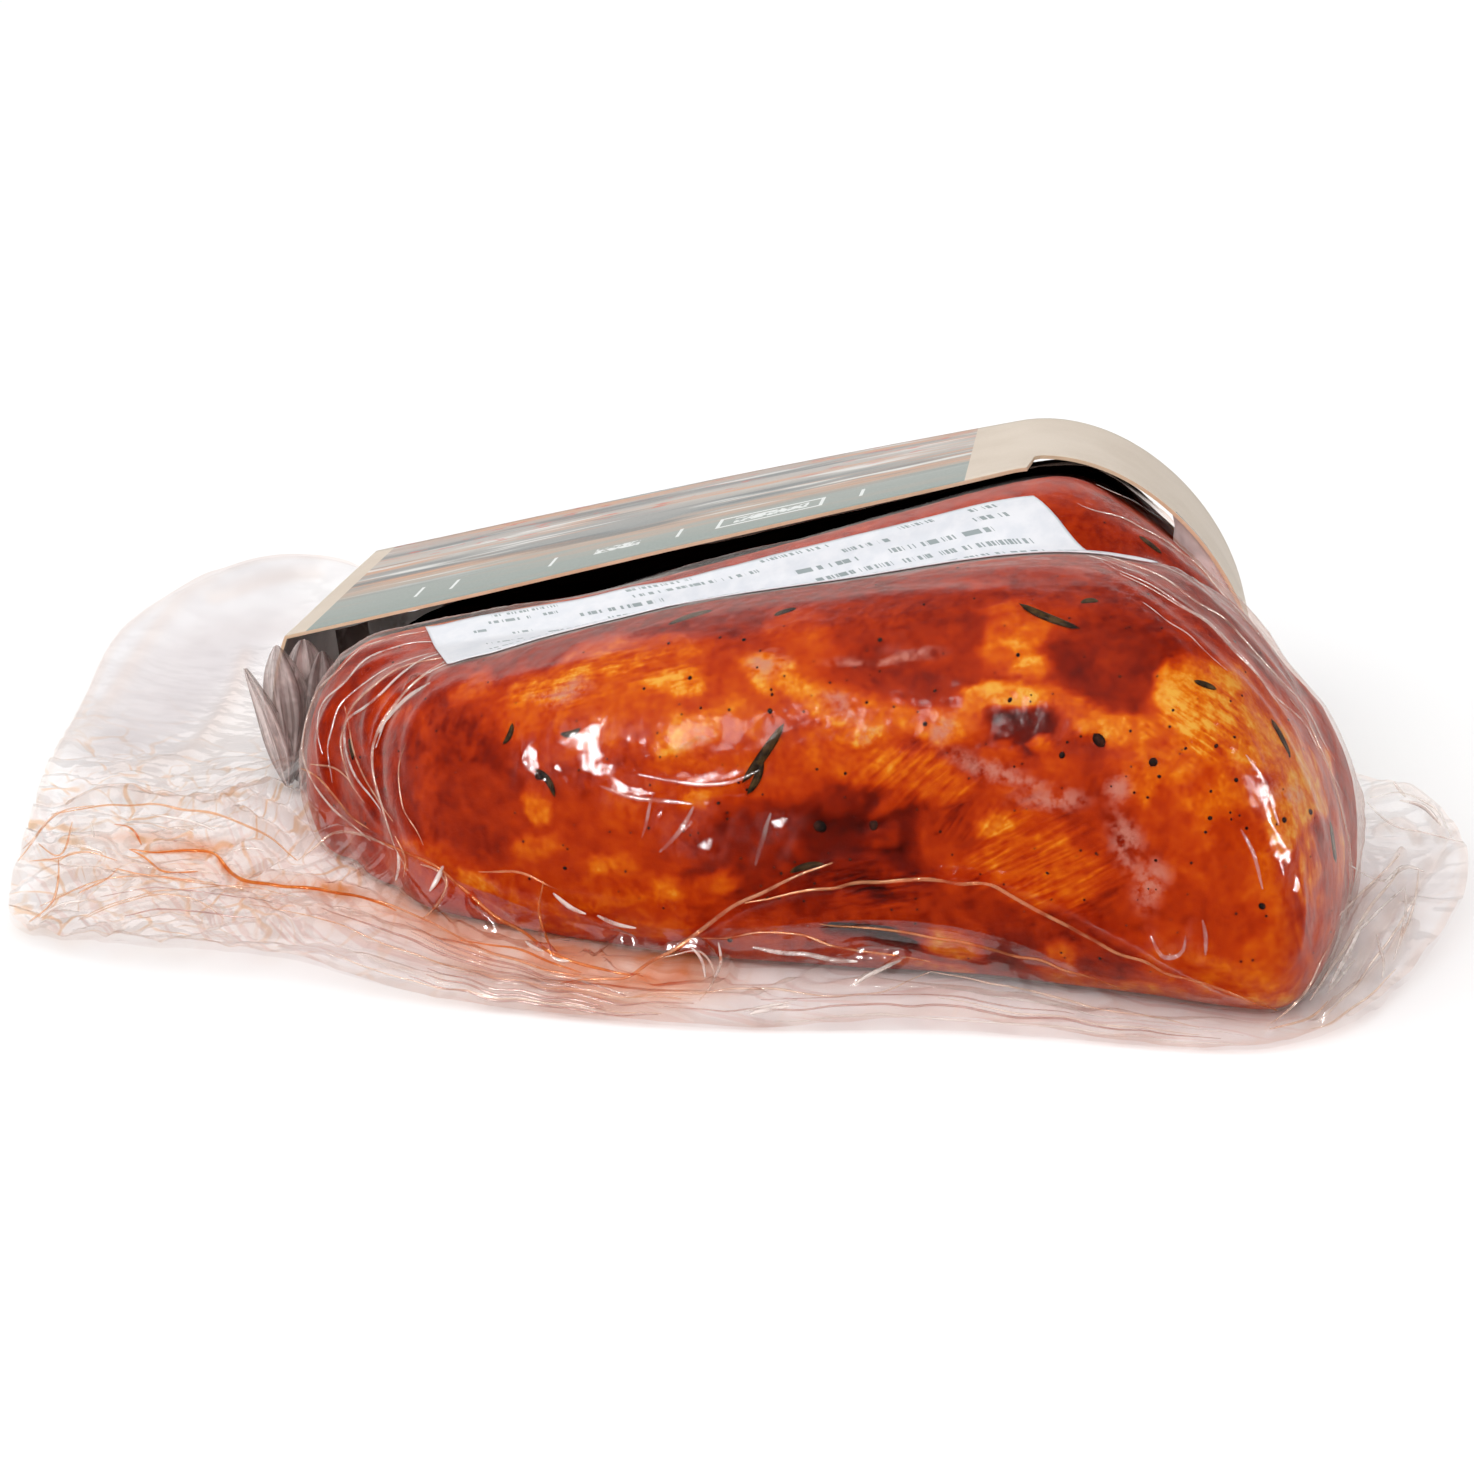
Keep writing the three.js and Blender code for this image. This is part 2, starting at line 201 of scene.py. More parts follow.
def noise(points, size, seed=0):
    """Smooth noise from -1 to 1 with features about size apart, in two or three dimensions."""
    at = np.asarray(points, float) / size + NOISE_START
    cell = np.floor(at).astype(np.int64)
    part = at - cell
    part = part * part * (3 - 2 * part)
    total = np.zeros(len(at))
    dimensions = at.shape[1]
    for corner in range(2**dimensions):
        offset = np.array([(corner >> d) & 1 for d in range(dimensions)])
        weight = np.prod(np.where(offset, part, 1 - part), axis=1)
        total += weight * hashed(cell + offset, seed)
    return 2 * total - 1


def layered_noise(points, size, layers=3, seed=0):
    total = np.zeros(len(points))
    strength, reach = 1.0, 0.0
    for layer in range(layers):
        total += strength * noise(points, size / 2**layer, seed + 17 * layer)
        reach += strength
        strength *= 0.5
    return total / reach


def pushed(at, points, reach, size, seed, layers=1):
    """Places in a plane, moved about by up to that reach by noise taken at the points."""
    return at + reach * np.stack([layered_noise(points, size, layers, seed + k) for k in (0, 1)], axis=1)


def cell_borders(points, size, seed=0):
    """For points in a plane: how far each is from its cell's border, and a random number per cell."""
    at = np.asarray(points, float) / size + NOISE_START
    cell = np.floor(at).astype(np.int64)
    nearest, second, owner = np.full(len(at), FAR), np.full(len(at), FAR), np.zeros(len(at))
    for step in np.ndindex(3, 3):
        near = cell + step - 1
        seat = near + np.stack([hashed(near, seed + 3), hashed(near, seed + 5)], axis=1)
        away = np.linalg.norm(at - seat, axis=1)
        closer = away < nearest
        second = np.where(closer, nearest, np.minimum(second, away))
        owner = np.where(closer, hashed(near, seed + 9), owner)
        nearest = np.where(closer, away, nearest)
    return (second - nearest) * size, owner


def to_picture(points):
    """Where points in millimetres fall in the picture, in pixels."""
    from_eye = np.asarray(points, float) - EYE
    ahead = -math.sin(TURN_LEFT) * from_eye[:, 0] + math.cos(TURN_LEFT) * from_eye[:, 1]
    right = math.cos(TURN_LEFT) * from_eye[:, 0] + math.sin(TURN_LEFT) * from_eye[:, 1]
    below = -from_eye[:, 2]
    depth = ahead * math.cos(TILT_DOWN) + below * math.sin(TILT_DOWN)
    down = below * math.cos(TILT_DOWN) - ahead * math.sin(TILT_DOWN)
    middle = PICTURE_SIZE / 2
    return np.stack([middle + FOCAL_PIXELS * right / depth, middle + FOCAL_PIXELS * down / depth], axis=1)


def picture_ray(x, y):
    """The direction from the eye through a point of the picture."""
    across = (x - PICTURE_SIZE / 2) / FOCAL_PIXELS
    down = (y - PICTURE_SIZE / 2) / FOCAL_PIXELS
    ahead = math.cos(TILT_DOWN) - down * math.sin(TILT_DOWN)
    up = -math.sin(TILT_DOWN) - down * math.cos(TILT_DOWN)
    return Vector((
        across * math.cos(TURN_LEFT) - ahead * math.sin(TURN_LEFT),
        across * math.sin(TURN_LEFT) + ahead * math.cos(TURN_LEFT),
        up,
    )).normalized()


def passed_along(line):
    """The distance passed at each point of a line."""
    return np.concatenate([[0], np.cumsum(np.linalg.norm(np.diff(line, axis=0), axis=1))])


def line_distance(points, line):
    """Distance of points in a plane from a bent line, and how far along it from 0 to 1."""
    best, along = np.full(len(points), 1e9), np.zeros(len(points))
    passed = passed_along(line)
    for start, end, low, high in zip(line[:-1], line[1:], passed, passed[1:]):
        step = (end - start) / (high - low)
        t = np.clip((points - start) @ step, 0, high - low)
        away = np.linalg.norm(points - start - t[:, None] * step, axis=1)
        along = np.where(away < best, (low + t) / passed[-1], along)
        best = np.minimum(best, away)
    return best, along


def crossed_spline(a, b, c, d, t):
    """The curve from b to c, with a before it and d after it."""
    return (2 * b + (c - a) * t + (2 * a - 5 * b + 4 * c - d) * t**2 + (3 * b - a - 3 * c + d) * t**3) / 2


def rounded_line(line, steps=8):
    """A smooth curve through the points of a bent line."""
    line = np.asarray(line, float)
    padded = np.vstack([2 * line[0] - line[1], line, 2 * line[-1] - line[-2]])
    t = np.linspace(0, 1, steps, endpoint=False)[:, None]
    spans = zip(padded[:-3], padded[1:-2], padded[2:-1], padded[3:])
    return np.vstack([*(crossed_spline(*span, t) for span in spans), line[-1:]])


def grid_faces(rows, columns, closed=False, flipped=False):
    """Four-sided faces of a grid whose points run row by row; closed joins the last column to the first."""
    r, c = np.meshgrid(np.arange(rows - 1), np.arange(columns if closed else columns - 1), indexing="ij")
    a = r * columns + c
    b = r * columns + (c + 1) % columns
    faces = np.stack([a, b, b + columns, a + columns], axis=-1).reshape(-1, 4)
    return faces[:, ::-1] if flipped else faces


def capped_faces(rings, sides):
    """Faces of a closed tube whose two tips come after the points of its rings."""
    count = rings * sides
    faces = grid_faces(rings, sides, closed=True, flipped=True).tolist()
    for j in range(sides):
        k = (j + 1) % sides
        faces += [[count, j, k], [count + 1, count - sides + k, count - sides + j]]
    return faces


def joined(bodies):
    """The points and faces of several bodies as those of one mesh."""
    points, faces, start = [], [], 0
    for body_points, body_faces in bodies:
        points.append(body_points)
        faces += [[int(v) + start for v in face] for face in body_faces]
        start += len(body_points)
    return np.vstack(points), faces


def add_object(name, data):
    made = bpy.data.objects.new(name, data)
    bpy.context.scene.collection.objects.link(made)
    return made


def add_mesh(name, points, faces, material, values=None):
    """A smooth-shaded piece from points in millimetres; values are numbers kept at each point."""
    mesh = bpy.data.meshes.new(name)
    mesh.from_pydata((np.asarray(points) * MM).tolist(), [], [list(map(int, f)) for f in faces])
    for key, numbers in (values or {}).items():
        mesh.attributes.new(key, "FLOAT", "POINT").data.foreach_set("value", np.asarray(numbers, np.float32))
    mesh.polygons.foreach_set("use_smooth", [True] * len(mesh.polygons))
    mesh.materials.append(material)
    mesh.update()
    return add_object(name, mesh)


def add_sheet(name, sides, rows, columns, layout, material, flipped=False):
    """A closed thin sheet from the points of its outer and inner sides; layout is its flat plan."""
    count = rows * columns
    outer = grid_faces(rows, columns, flipped=flipped)
    inner = grid_faces(rows, columns, flipped=not flipped) + count
    rim = np.concatenate([
        np.arange(columns), (np.arange(1, rows) + 1) * columns - 1,
        (rows - 1) * columns + np.arange(columns - 2, -1, -1), np.arange(rows - 2, 0, -1) * columns,
    ])
    following = np.roll(rim, -1)
    start, end = (rim, following) if flipped else (following, rim)
    edge = np.stack([start, end, end + count, start + count], axis=1)
    faces = np.vstack([outer, inner, edge])
    piece = add_mesh(name, np.vstack(sides), faces, material)
    corners = np.zeros(len(piece.data.loops), np.int32)
    piece.data.loops.foreach_get("vertex_index", corners)
    flat = np.tile(layout, (2, 1))[corners].ravel().astype(np.float32)
    piece.data.uv_layers.new(name="layout").data.foreach_set("uv", flat)
    return piece


def points_of(mesh):
    flat = np.zeros(len(mesh.vertices) * 3)
    mesh.vertices.foreach_get("co", flat)
    return flat.reshape(-1, 3) / MM


def normals_of(points, faces):
    """Unit normals at the points of a mesh of four-sided faces."""
    corners = points[faces]
    face_normals = np.cross(corners[:, 2] - corners[:, 0], corners[:, 3] - corners[:, 1])
    total = np.stack([
        np.bincount(faces.ravel(), np.repeat(face_normals[:, axis], 4), len(points)) for axis in range(3)
    ], axis=1)
    return total / np.maximum(np.linalg.norm(total, axis=1, keepdims=True), 1e-9)


def face_edges(faces):
    pairs = np.vstack([faces[:, [0, 1]], faces[:, [1, 2]], faces[:, [2, 3]], faces[:, [3, 0]]])
    return np.unique(np.sort(pairs, axis=1), axis=0)


def relaxed(points, edges, rounds, share=0.5):
    """Points moved towards the middle of their neighbours, again and again."""
    points = points.copy()
    first, second = edges.T
    count = np.bincount(edges.ravel(), minlength=len(points))
    for _ in range(rounds):
        for axis in range(3):
            column = points[:, axis]
            total = np.bincount(first, column[second], len(points))
            total += np.bincount(second, column[first], len(points))
            points[:, axis] = lerp(column, total / count, share)
    return points


# ---- Materials ----


def srgb(red, green, blue):
    """A colour as seen on a screen, from 0 to 255, as the shader's own linear values."""
    shares = (channel / 255 for channel in (red, green, blue))
    return (*((c / 12.92 if c <= 0.0393 else ((c + 0.055) / 1.055) ** 2.4) for c in shares), 1)


WHITE = (1, 1, 1, 1)


class Shader:
    """A node material under construction."""

    def __init__(self, name):
        self.material = bpy.data.materials.new(name)
        self.material.use_nodes = True
        self.tree = self.material.node_tree
        self.tree.nodes.clear()
        self.place = self.node("TexCoord").outputs["Object"]

    def node(self, kind, inputs=None, **properties):
        node = self.tree.nodes.new("ShaderNode" + kind)
        for key, value in properties.items():
            setattr(node, key, value)
        for key, value in (inputs or {}).items():
            if isinstance(value, bpy.types.NodeSocket):
                self.tree.links.new(value, node.inputs[key])
            else:
                node.inputs[key].default_value = value
        return node

    def math(self, operation, a, b=0.0, clamp=False):
        return self.node("Math", {0: a, 1: b}, operation=operation, use_clamp=clamp).outputs[0]

    def times(self, first, *others):
        for other in others:
            first = self.math("MULTIPLY", first, other)
        return first

    def plus(self, a, b):
        return self.math("ADD", a, b)

    def minus(self, a, b):
        return self.math("SUBTRACT", a, b)

    def band(self, value, low, high):
        """1 where the value lies between the two limits."""
        return self.times(self.math("GREATER_THAN", value, low), self.math("LESS_THAN", value, high))

    def mix(self, share, a, b, blend="MIX"):
        return self.node("Mix", {0: share, 6: a, 7: b}, data_type="RGBA", blend_type=blend).outputs[2]

    def value(self, name):
        return self.node("Attribute", attribute_name=name).outputs["Fac"]

    def between(self, value, low, high, to_low=0.0, to_high=1.0):
        inputs = {"Value": value, 1: low, 2: high, 3: to_low, 4: to_high}
        return self.node("MapRange", inputs, interpolation_type="SMOOTHSTEP").outputs[0]

    def flat_place(self, along, across):
        return self.node("CombineXYZ", {0: along, 1: across}).outputs[0]

    def mapped(self, place, scale, start=(0, 0, 0)):
        return self.node("Mapping", {"Vector": place, "Location": start, "Scale": scale}).outputs[0]

    def noise(self, per_metre, detail=3.0, rough=0.55, vector=None, bend=0.0):
        inputs = {"Vector": vector or self.place, "Scale": per_metre, "Detail": detail,
                  "Roughness": rough, "Distortion": bend}
        return self.node("TexNoise", inputs).outputs["Fac"]

    def specks(self, per_metre, radius, share):
        """Small round dots: one in each cell, in that share of the cells."""
        cells = self.node("TexVoronoi", {"Vector": self.place, "Scale": per_metre})
        number = self.node("SeparateColor", {0: cells.outputs["Color"]}).outputs[0]
        dot = self.between(cells.outputs["Distance"], radius, radius * 0.6)
        return self.times(dot, self.math("LESS_THAN", number, share))

    def ramp(self, value, tones, interpolation="LINEAR"):
        node = self.node("ValToRGB", {0: value})
        ramp = node.color_ramp
        ramp.interpolation = interpolation
        while len(ramp.elements) < len(tones):
            ramp.elements.new(0.5)
        for element, (position, colour) in zip(ramp.elements, tones):
            element.position, element.color = position, colour
        return node.outputs[0]

    def layout(self):
        """Shares along and across a sheet's flat plan."""
        plan = self.node("UVMap", uv_map="layout").outputs[0]
        parts = self.node("SeparateXYZ", {0: plan}).outputs
        return plan, parts[0], parts[1]

    def bump(self, height, strength, distance):
        return self.node("Bump", {"Height": height, "Strength": strength, "Distance": distance}).outputs[0]

    def facing(self, power, **normal):
        """0 straight on, rising to 1 edge-on."""
        slant = self.node("LayerWeight", {"Blend": 0.5, **normal}).outputs["Facing"]
        return self.math("POWER", slant, power)

    def over(self, share, under, upper):
        return self.node("MixShader", {0: share, 1: under.outputs[0], 2: upper.outputs[0]})

    def clear(self, tint):
        return self.node("BsdfTransparent", {0: tint})

    def gloss(self, roughness, colour=WHITE, **normal):
        return self.node("BsdfGlossy", {"Color": colour, "Roughness": roughness, **normal})

    def body(self, colour, roughness, height, strength, distance, **more):
        """A solid surface with relief."""
        normal = self.bump(height, strength, distance)
        more = {key.replace("_", " "): value for key, value in more.items()}
        inputs = {"Base Color": colour, "Roughness": roughness, "Normal": normal, **more}
        return self.node("BsdfPrincipled", inputs)

    def finish(self, surface):
        output = self.node("OutputMaterial")
        self.tree.links.new(surface.outputs[0], output.inputs["Surface"])
        return self.material


MEAT_TONES = (
    (0.0, srgb(34, 4, 2)), (0.12, srgb(92, 12, 2)), (0.26, srgb(140, 28, 2)), (0.38, srgb(176, 48, 3)),
    (0.5, srgb(200, 62, 3)), (0.62, srgb(216, 84, 5)), (0.74, srgb(234, 112, 9)), (0.86, srgb(248, 150, 28)),
    (1.0, srgb(255, 204, 110)),
)


def meat_material():
    """Marinade over lean and fat: one run of tones from nearly black through red and orange to fat."""
    s = Shader("marinated_meat")
    blotch, mottle, grain = s.noise(170, 3, 0.6, bend=0.8), s.noise(430, 3, 0.6), s.noise(1200, 2, 0.6)
    fibre = s.noise(1.0, 2, 0.6, s.flat_place(s.value("fibre_along"), s.value("fibre_across")), 0.35)
    tone = s.value("tone")
    lively = s.plus(tone, 0.45)
    for texture, strength in ((blotch, 0.24), (mottle, 0.24), (grain, 0.12)):
        tone = s.plus(tone, s.times(s.minus(texture, 0.5), strength * 2, lively))
    tone = s.plus(tone, s.times(s.minus(fibre, 0.5), s.value("fibres"), 1.15))
    colour = s.mix(1.0, s.ramp(tone, MEAT_TONES, "B_SPLINE"), (0.8, 0.7, 0.4, 1), "MULTIPLY")
    sinew = s.math("MULTIPLY", s.value("sinew"), s.between(mottle, 0.35, 0.62), clamp=True)
    colour = s.mix(sinew, colour, srgb(196, 128, 112))
    colour = s.mix(s.specks(230, 0.08, 0.2), colour, srgb(34, 10, 4))
    height = s.plus(s.times(mottle, 0.6), s.times(fibre, s.value("fibres")))
    roughness = s.between(blotch, 0.3, 0.7, 0.4, 0.6)
    return s.finish(s.body(colour, roughness, height, 0.35, 0.0008, Specular_IOR_Level=0.02))


def clear_film(s, tint, straight_gloss, slant_gloss, roughness, bump_strength, haze, open_air):
    """See-through film of that tint, glossy and a little milky, both more so at a slant, and less so
    where it isn't in the open."""
    normal = s.bump(s.noise(280, 1.5, 0.5), bump_strength, 0.001)
    rise = s.times(s.facing(4.5, Normal=normal), slant_gloss)
    share = s.times(s.math("ADD", rise, straight_gloss, clamp=True), open_air)
    milk = s.times(s.facing(3.3, Normal=normal), haze, open_air)
    film = s.over(milk, s.clear(tint), s.node("BsdfDiffuse", {0: srgb(240, 224, 216)}))
    return s.finish(s.over(share, film, s.gloss(roughness, Normal=normal)))


def meat_film_material():
    """The shrunk film: brightest on its flat spots, dull where the card shelters it, with painted shade
    darkening its tint there.
    """
    s = Shader("film_on_meat")
    tint = s.mix(s.value("crease"), srgb(252, 250, 249), srgb(246, 226, 214))
    # painted shade: under the card the film's tint turns dark brown
    tint = s.mix(s.value("painted_card_shade"), tint, srgb(84, 72, 66))
    streaks = s.between(s.noise(1.0, 1, 0.6, s.mapped(s.place, (700, 300, 300))), 0.35, 0.6, 0.25, 1.0)
    straight = s.plus(s.times(s.value("gleam"), streaks, 0.02), 0.003)
    return clear_film(s, tint, straight, 0.2, 0.13, 0.3, 0.42, s.between(s.value("dull"), 0, 0.9, 1.0, 0.0))


def fold_material():
    """Doubled film: bright at its edges and a little milky, amber where marinade sits in it, and milky white
    where it stands in as a painted highlight.
    """
    s = Shader("film_fold")
    amber = s.value("amber")
    tint = s.mix(amber, srgb(253, 251, 249), srgb(246, 196, 138))
    tint = s.mix(s.value("mauve"), tint, srgb(226, 196, 190))
    share = s.math("ADD", s.times(s.facing(2.5), 0.7), 0.05, clamp=True)
    uneven = s.between(s.noise(220, 2), 0.35, 0.6, 0.25, 1.0)
    cloud = s.node("BsdfDiffuse", {0: s.mix(amber, srgb(248, 236, 230), srgb(240, 150, 70))})
    film = s.over(s.times(s.value("milk"), uneven), s.clear(tint), cloud)
    gloss = s.gloss(0.12, s.mix(amber, WHITE, srgb(255, 214, 160)))
    return s.finish(s.over(s.times(share, uneven), film, gloss))


def cloudy_material(name, dark, light, thin, thick):
    """Film folded over several times: milky, half see-through, darker along its veins and rims."""
    s = Shader(name)
    clouds = s.noise(120, 3, 0.6, bend=0.5)
    veins = s.noise(1.0, 2, 0.5, s.flat_place(s.value("vein_across"), s.value("vein_along")), 0.3)
    pale = s.math("ADD", s.value("pale"), s.between(clouds, 0.3, 0.7, -0.2, 0.2), clamp=True)
    tone = s.mix(s.between(veins, 0.5, 0.62, 0, 0.7), s.mix(pale, dark, light), srgb(128, 106, 102))
    tone = s.mix(s.times(s.value("rim"), 0.75), tone, srgb(104, 90, 86))
    roughness = s.between(veins, 0.3, 0.7, 0.2, 0.35)
    milk = s.body(tone, roughness, veins, 0.5, 0.001, Specular_IOR_Level=0.4)
    return s.finish(s.over(s.between(clouds, 0.3, 0.7, thin, thick), s.clear(srgb(232, 226, 222)), milk))


def crackle_lines(s, place, per_metre, width):
    """Thin lines of a net, at that many cells a metre."""
    net = s.node("TexVoronoi", {"Vector": place, "Scale": per_metre}, feature="DISTANCE_TO_EDGE",
                 voronoi_dimensions="2D")
    return s.between(net.outputs["Distance"], width, width * 0.25)


def shaken_place(s):
    """The place on the film, moved about by up to 7 mm."""
    shift = s.node("TexNoise", {"Vector": s.place, "Scale": 90.0, "Detail": 0.5}).outputs["Color"]
    shift = s.node("VectorMath", {0: shift, 1: (0.5, 0.5, 0.5)}, operation="SUBTRACT").outputs[0]
    shift = s.node("VectorMath", {0: shift, "Scale": 0.014}, operation="SCALE").outputs[0]
    return s.node("VectorMath", {0: s.place, 1: shift}, operation="ADD").outputs[0]


def margin_material():
    """The crumpled margin: nearly clear, with a net of stained creases and fine mauve folds."""
    s = Shader("film_margin")
    patchy = s.between(s.noise(110, 2, 0.6), 0.3, 0.7)
    crackle = s.value("crackle")
    place = shaken_place(s)
    wide = s.times(crackle_lines(s, place, 95, 0.06), s.between(patchy, 0.2, 0.6))
    narrow = s.times(crackle_lines(s, place, 180, 0.06), s.between(patchy, 0.6, 0.2), 0.7)
    lines = s.times(s.math("MAXIMUM", wide, narrow), crackle)
    fine = s.noise(1.0, 1.5, 0.6, s.flat_place(s.value("fold_round"), s.value("fold_out")))
    fine = s.between(s.between(fine, 0.5, 0.62), 0, 1, 0.05, 0.8)
    tint = s.mix(patchy, srgb(253, 252, 252), srgb(249, 248, 248))
    for share, colour in (
        (s.value("dull"), srgb(243, 241, 242)),
        (s.times(s.value("blush"), fine), srgb(238, 216, 212)),
        (s.times(s.value("crease"), 0.5), srgb(236, 214, 200)),
        (s.times(lines, 0.8), s.mix(patchy, srgb(238, 216, 192), srgb(240, 194, 146))),
        (s.times(s.value("stain"), s.between(patchy, 0, 1, 0.6, 1)), srgb(236, 146, 54)),
    ):
        tint = s.mix(share, tint, colour)
    open_air = s.between(s.value("dull"), 0, 1, 1.0, 0.25)
    return clear_film(s, tint, s.plus(s.times(crackle, 0.03), 0.03), 0.45, 0.11, 0.42, 0.08, open_air)


def under_film_material():
    """The web that lies on the table, seen only through the other one: nearly clear and dull."""
    s = Shader("film_margin_under")
    tint = s.mix(s.between(s.noise(110, 1), 0.35, 0.65), srgb(251, 250, 250), srgb(246, 244, 244))
    share = s.plus(s.times(s.facing(4.5), 0.25), 0.015)
    return s.finish(s.over(share, s.clear(tint), s.gloss(0.12)))


LABEL_TEXT_ROWS = 9.0


def paper_material():
    """Near-white thermal paper with rows of small meaningless dashes."""
    s = Shader("label_paper")
    _, along, across = s.layout()
    rows = s.times(across, LABEL_TEXT_ROWS)
    row_number = s.math("FLOOR", rows)
    dashes = s.noise(1.0, 1.0, 0.5, s.flat_place(s.times(along, 190.0), s.times(row_number, 7.7)))
    blocks = s.noise(1.0, 0.0, 0.5, s.flat_place(s.times(along, 9.0), s.times(row_number, 3.1)))
    ink = s.times(s.math("GREATER_THAN", dashes, 0.5), s.math("GREATER_THAN", blocks, 0.5))
    ink = s.times(ink, s.band(s.math("FRACT", rows), 0.34, 0.72), s.band(along, 0.07, 0.93))
    mottle = s.between(s.noise(300, 3), 0.3, 0.7)
    paper = s.mix(mottle, srgb(208, 210, 216), srgb(220, 220, 224))
    colour = s.mix(s.times(ink, 0.7), paper, srgb(70, 96, 92))
    roughness = s.between(mottle, 0.0, 1.0, 0.42, 0.55)
    grain = s.noise(800, 3)
    return s.finish(s.body(colour, roughness, grain, 0.15, 0.0003, Coat_Weight=0.25, Coat_Roughness=0.12))


# The print on the card, in shares of its path from the left flap's foot (along) and of its depth
# from the front edge (across).
PRINT_FROM = 0.108
PRINT_TO = 0.617
MARK_ROW = 0.2
MARK_HALF = 0.055
MARK_TICKS = (0.187, 0.216, 0.296, 0.397, 0.538)
MARK_BLOBS = ((0.33, 0.366), (0.44, 0.497))
MARK_BOX = (0.427, 0.509)
# Bands of the print: where each ends across the card, and its tone.
PRINT_BANDS = (
    (0.0, srgb(146, 155, 149)), (0.3, srgb(160, 165, 159)), (0.42, srgb(188, 164, 146)),
    (0.5, srgb(146, 148, 146)), (0.62, srgb(162, 160, 156)), (0.74, srgb(192, 184, 176)),
    (0.86, srgb(174, 168, 164)), (1.0, srgb(190, 166, 152)),
)


# Streaks of the print: where their pattern starts, its scale, between which values they fade in,
# and their colour and strength.
PRINT_STREAKS = (
    ((8.2, 1.4, 0), (6, 18, 1), (0.54, 0.68), srgb(220, 218, 214), 1),
    ((4.4, 9.1, 0), (4, 11, 1), (0.5, 0.66), srgb(112, 118, 118), 0.7),
)


def printed_card_material():
    """Satin print: grey with soft peach, white and pink streaks along it, and plain beige ends."""
    s = Shader("printed_card")
    plan, along, across = s.layout()

    def streaks(start, scale, low, high):
        return s.between(s.noise(1.0, 3, 0.55, s.mapped(plan, scale, start)), low, high)

    drift = s.times(s.minus(streaks((1, 2, 0), (7, 5, 1), 0.2, 0.8), 0.5), 0.12)
    colour = s.ramp(s.plus(across, drift), PRINT_BANDS)
    peach = s.times(streaks((0, 0, 0), (4, 12, 1), 0.48, 0.64), s.between(across, 0.2, 0.4, 0.1, 0.85))
    colour = s.mix(peach, colour, srgb(206, 158, 128))
    behind = s.between(across, 0.26, 0.42)
    for start, scale, fade, tone, strength in PRINT_STREAKS:
        colour = s.mix(s.times(streaks(start, scale, *fade), behind, strength), colour, tone)
    red = s.times(streaks((3.1, 5.7, 0), (34, 26, 1), 0.58, 0.68), s.between(across, 0.6, 0.75), 0.7)
    colour = s.mix(red, colour, srgb(206, 110, 96))
    colour = s.mix(s.times(printed_marks(s, along, across), 0.85), colour, srgb(238, 240, 238))
    beige = s.mix(s.between(s.noise(60, 3), 0.3, 0.7), srgb(208, 192, 174), srgb(216, 201, 184))
    colour = s.mix(s.band(along, PRINT_FROM, PRINT_TO), beige, colour)
    fibres = s.noise(1800, 3, 0.6)
    roughness = s.between(fibres, 0.3, 0.7, 0.46, 0.58)
    return s.finish(s.body(colour, roughness, fibres, 0.12, 0.0002, Specular_IOR_Level=0.3))


def printed_marks(s, along, across):
    """Plain ticks, a box and broken bars in a row near the front edge."""

    def row(half):
        return s.band(across, MARK_ROW - half, MARK_ROW + half)

    broken = s.between(s.noise(700, 3), 0.4, 0.52)
    marks = [s.times(s.band(along, tick - 0.0014, tick + 0.0014), row(MARK_HALF)) for tick in MARK_TICKS]
    marks += [s.times(s.band(along, *blob), row(MARK_HALF * 0.6), broken) for blob in MARK_BLOBS]
    low, high = MARK_BOX
    box = s.times(s.band(along, low, high), row(0.065))
    marks.append(s.minus(box, s.times(s.band(along, low + 0.003, high - 0.003), row(0.05))))
    total = marks[0]
    for mark in marks[1:]:
        total = s.math("ADD", total, mark, clamp=True)
    return total


def plain_card_material(name, dark, light, roughness):
    s = Shader(name)
    fibres = s.noise(1400, 4, 0.65)
    colour = s.mix(s.between(s.noise(90, 3), 0.3, 0.7), dark, light)
    colour = s.mix(s.times(s.between(fibres, 0.55, 0.75), 0.3), colour, srgb(236, 230, 222))
    roughness = s.between(fibres, 0.3, 0.7, roughness, roughness + 0.12)
    return s.finish(s.body(colour, roughness, fibres, 0.2, 0.0002))


def herb_material(name, dark, light):
    s = Shader(name)
    colour = s.mix(s.between(s.noise(500, 3), 0.35, 0.65), dark, light)
    roughness = s.between(s.noise(900, 2), 0.3, 0.7, 0.5, 0.7)
    return s.finish(s.body(colour, roughness, s.noise(1600, 2), 0.4, 0.0003, Specular_IOR_Level=0.05))


def floor_material():
    s = Shader("pale_floor")
    colour = s.mix(s.between(s.noise(3, 1), 0.3, 0.7), srgb(250, 250, 250), srgb(252, 252, 252))
    return s.finish(s.node("BsdfDiffuse", {"Color": colour, "Roughness": 0.4}))


# ---- Racks: the frame's own rounded bodies ----


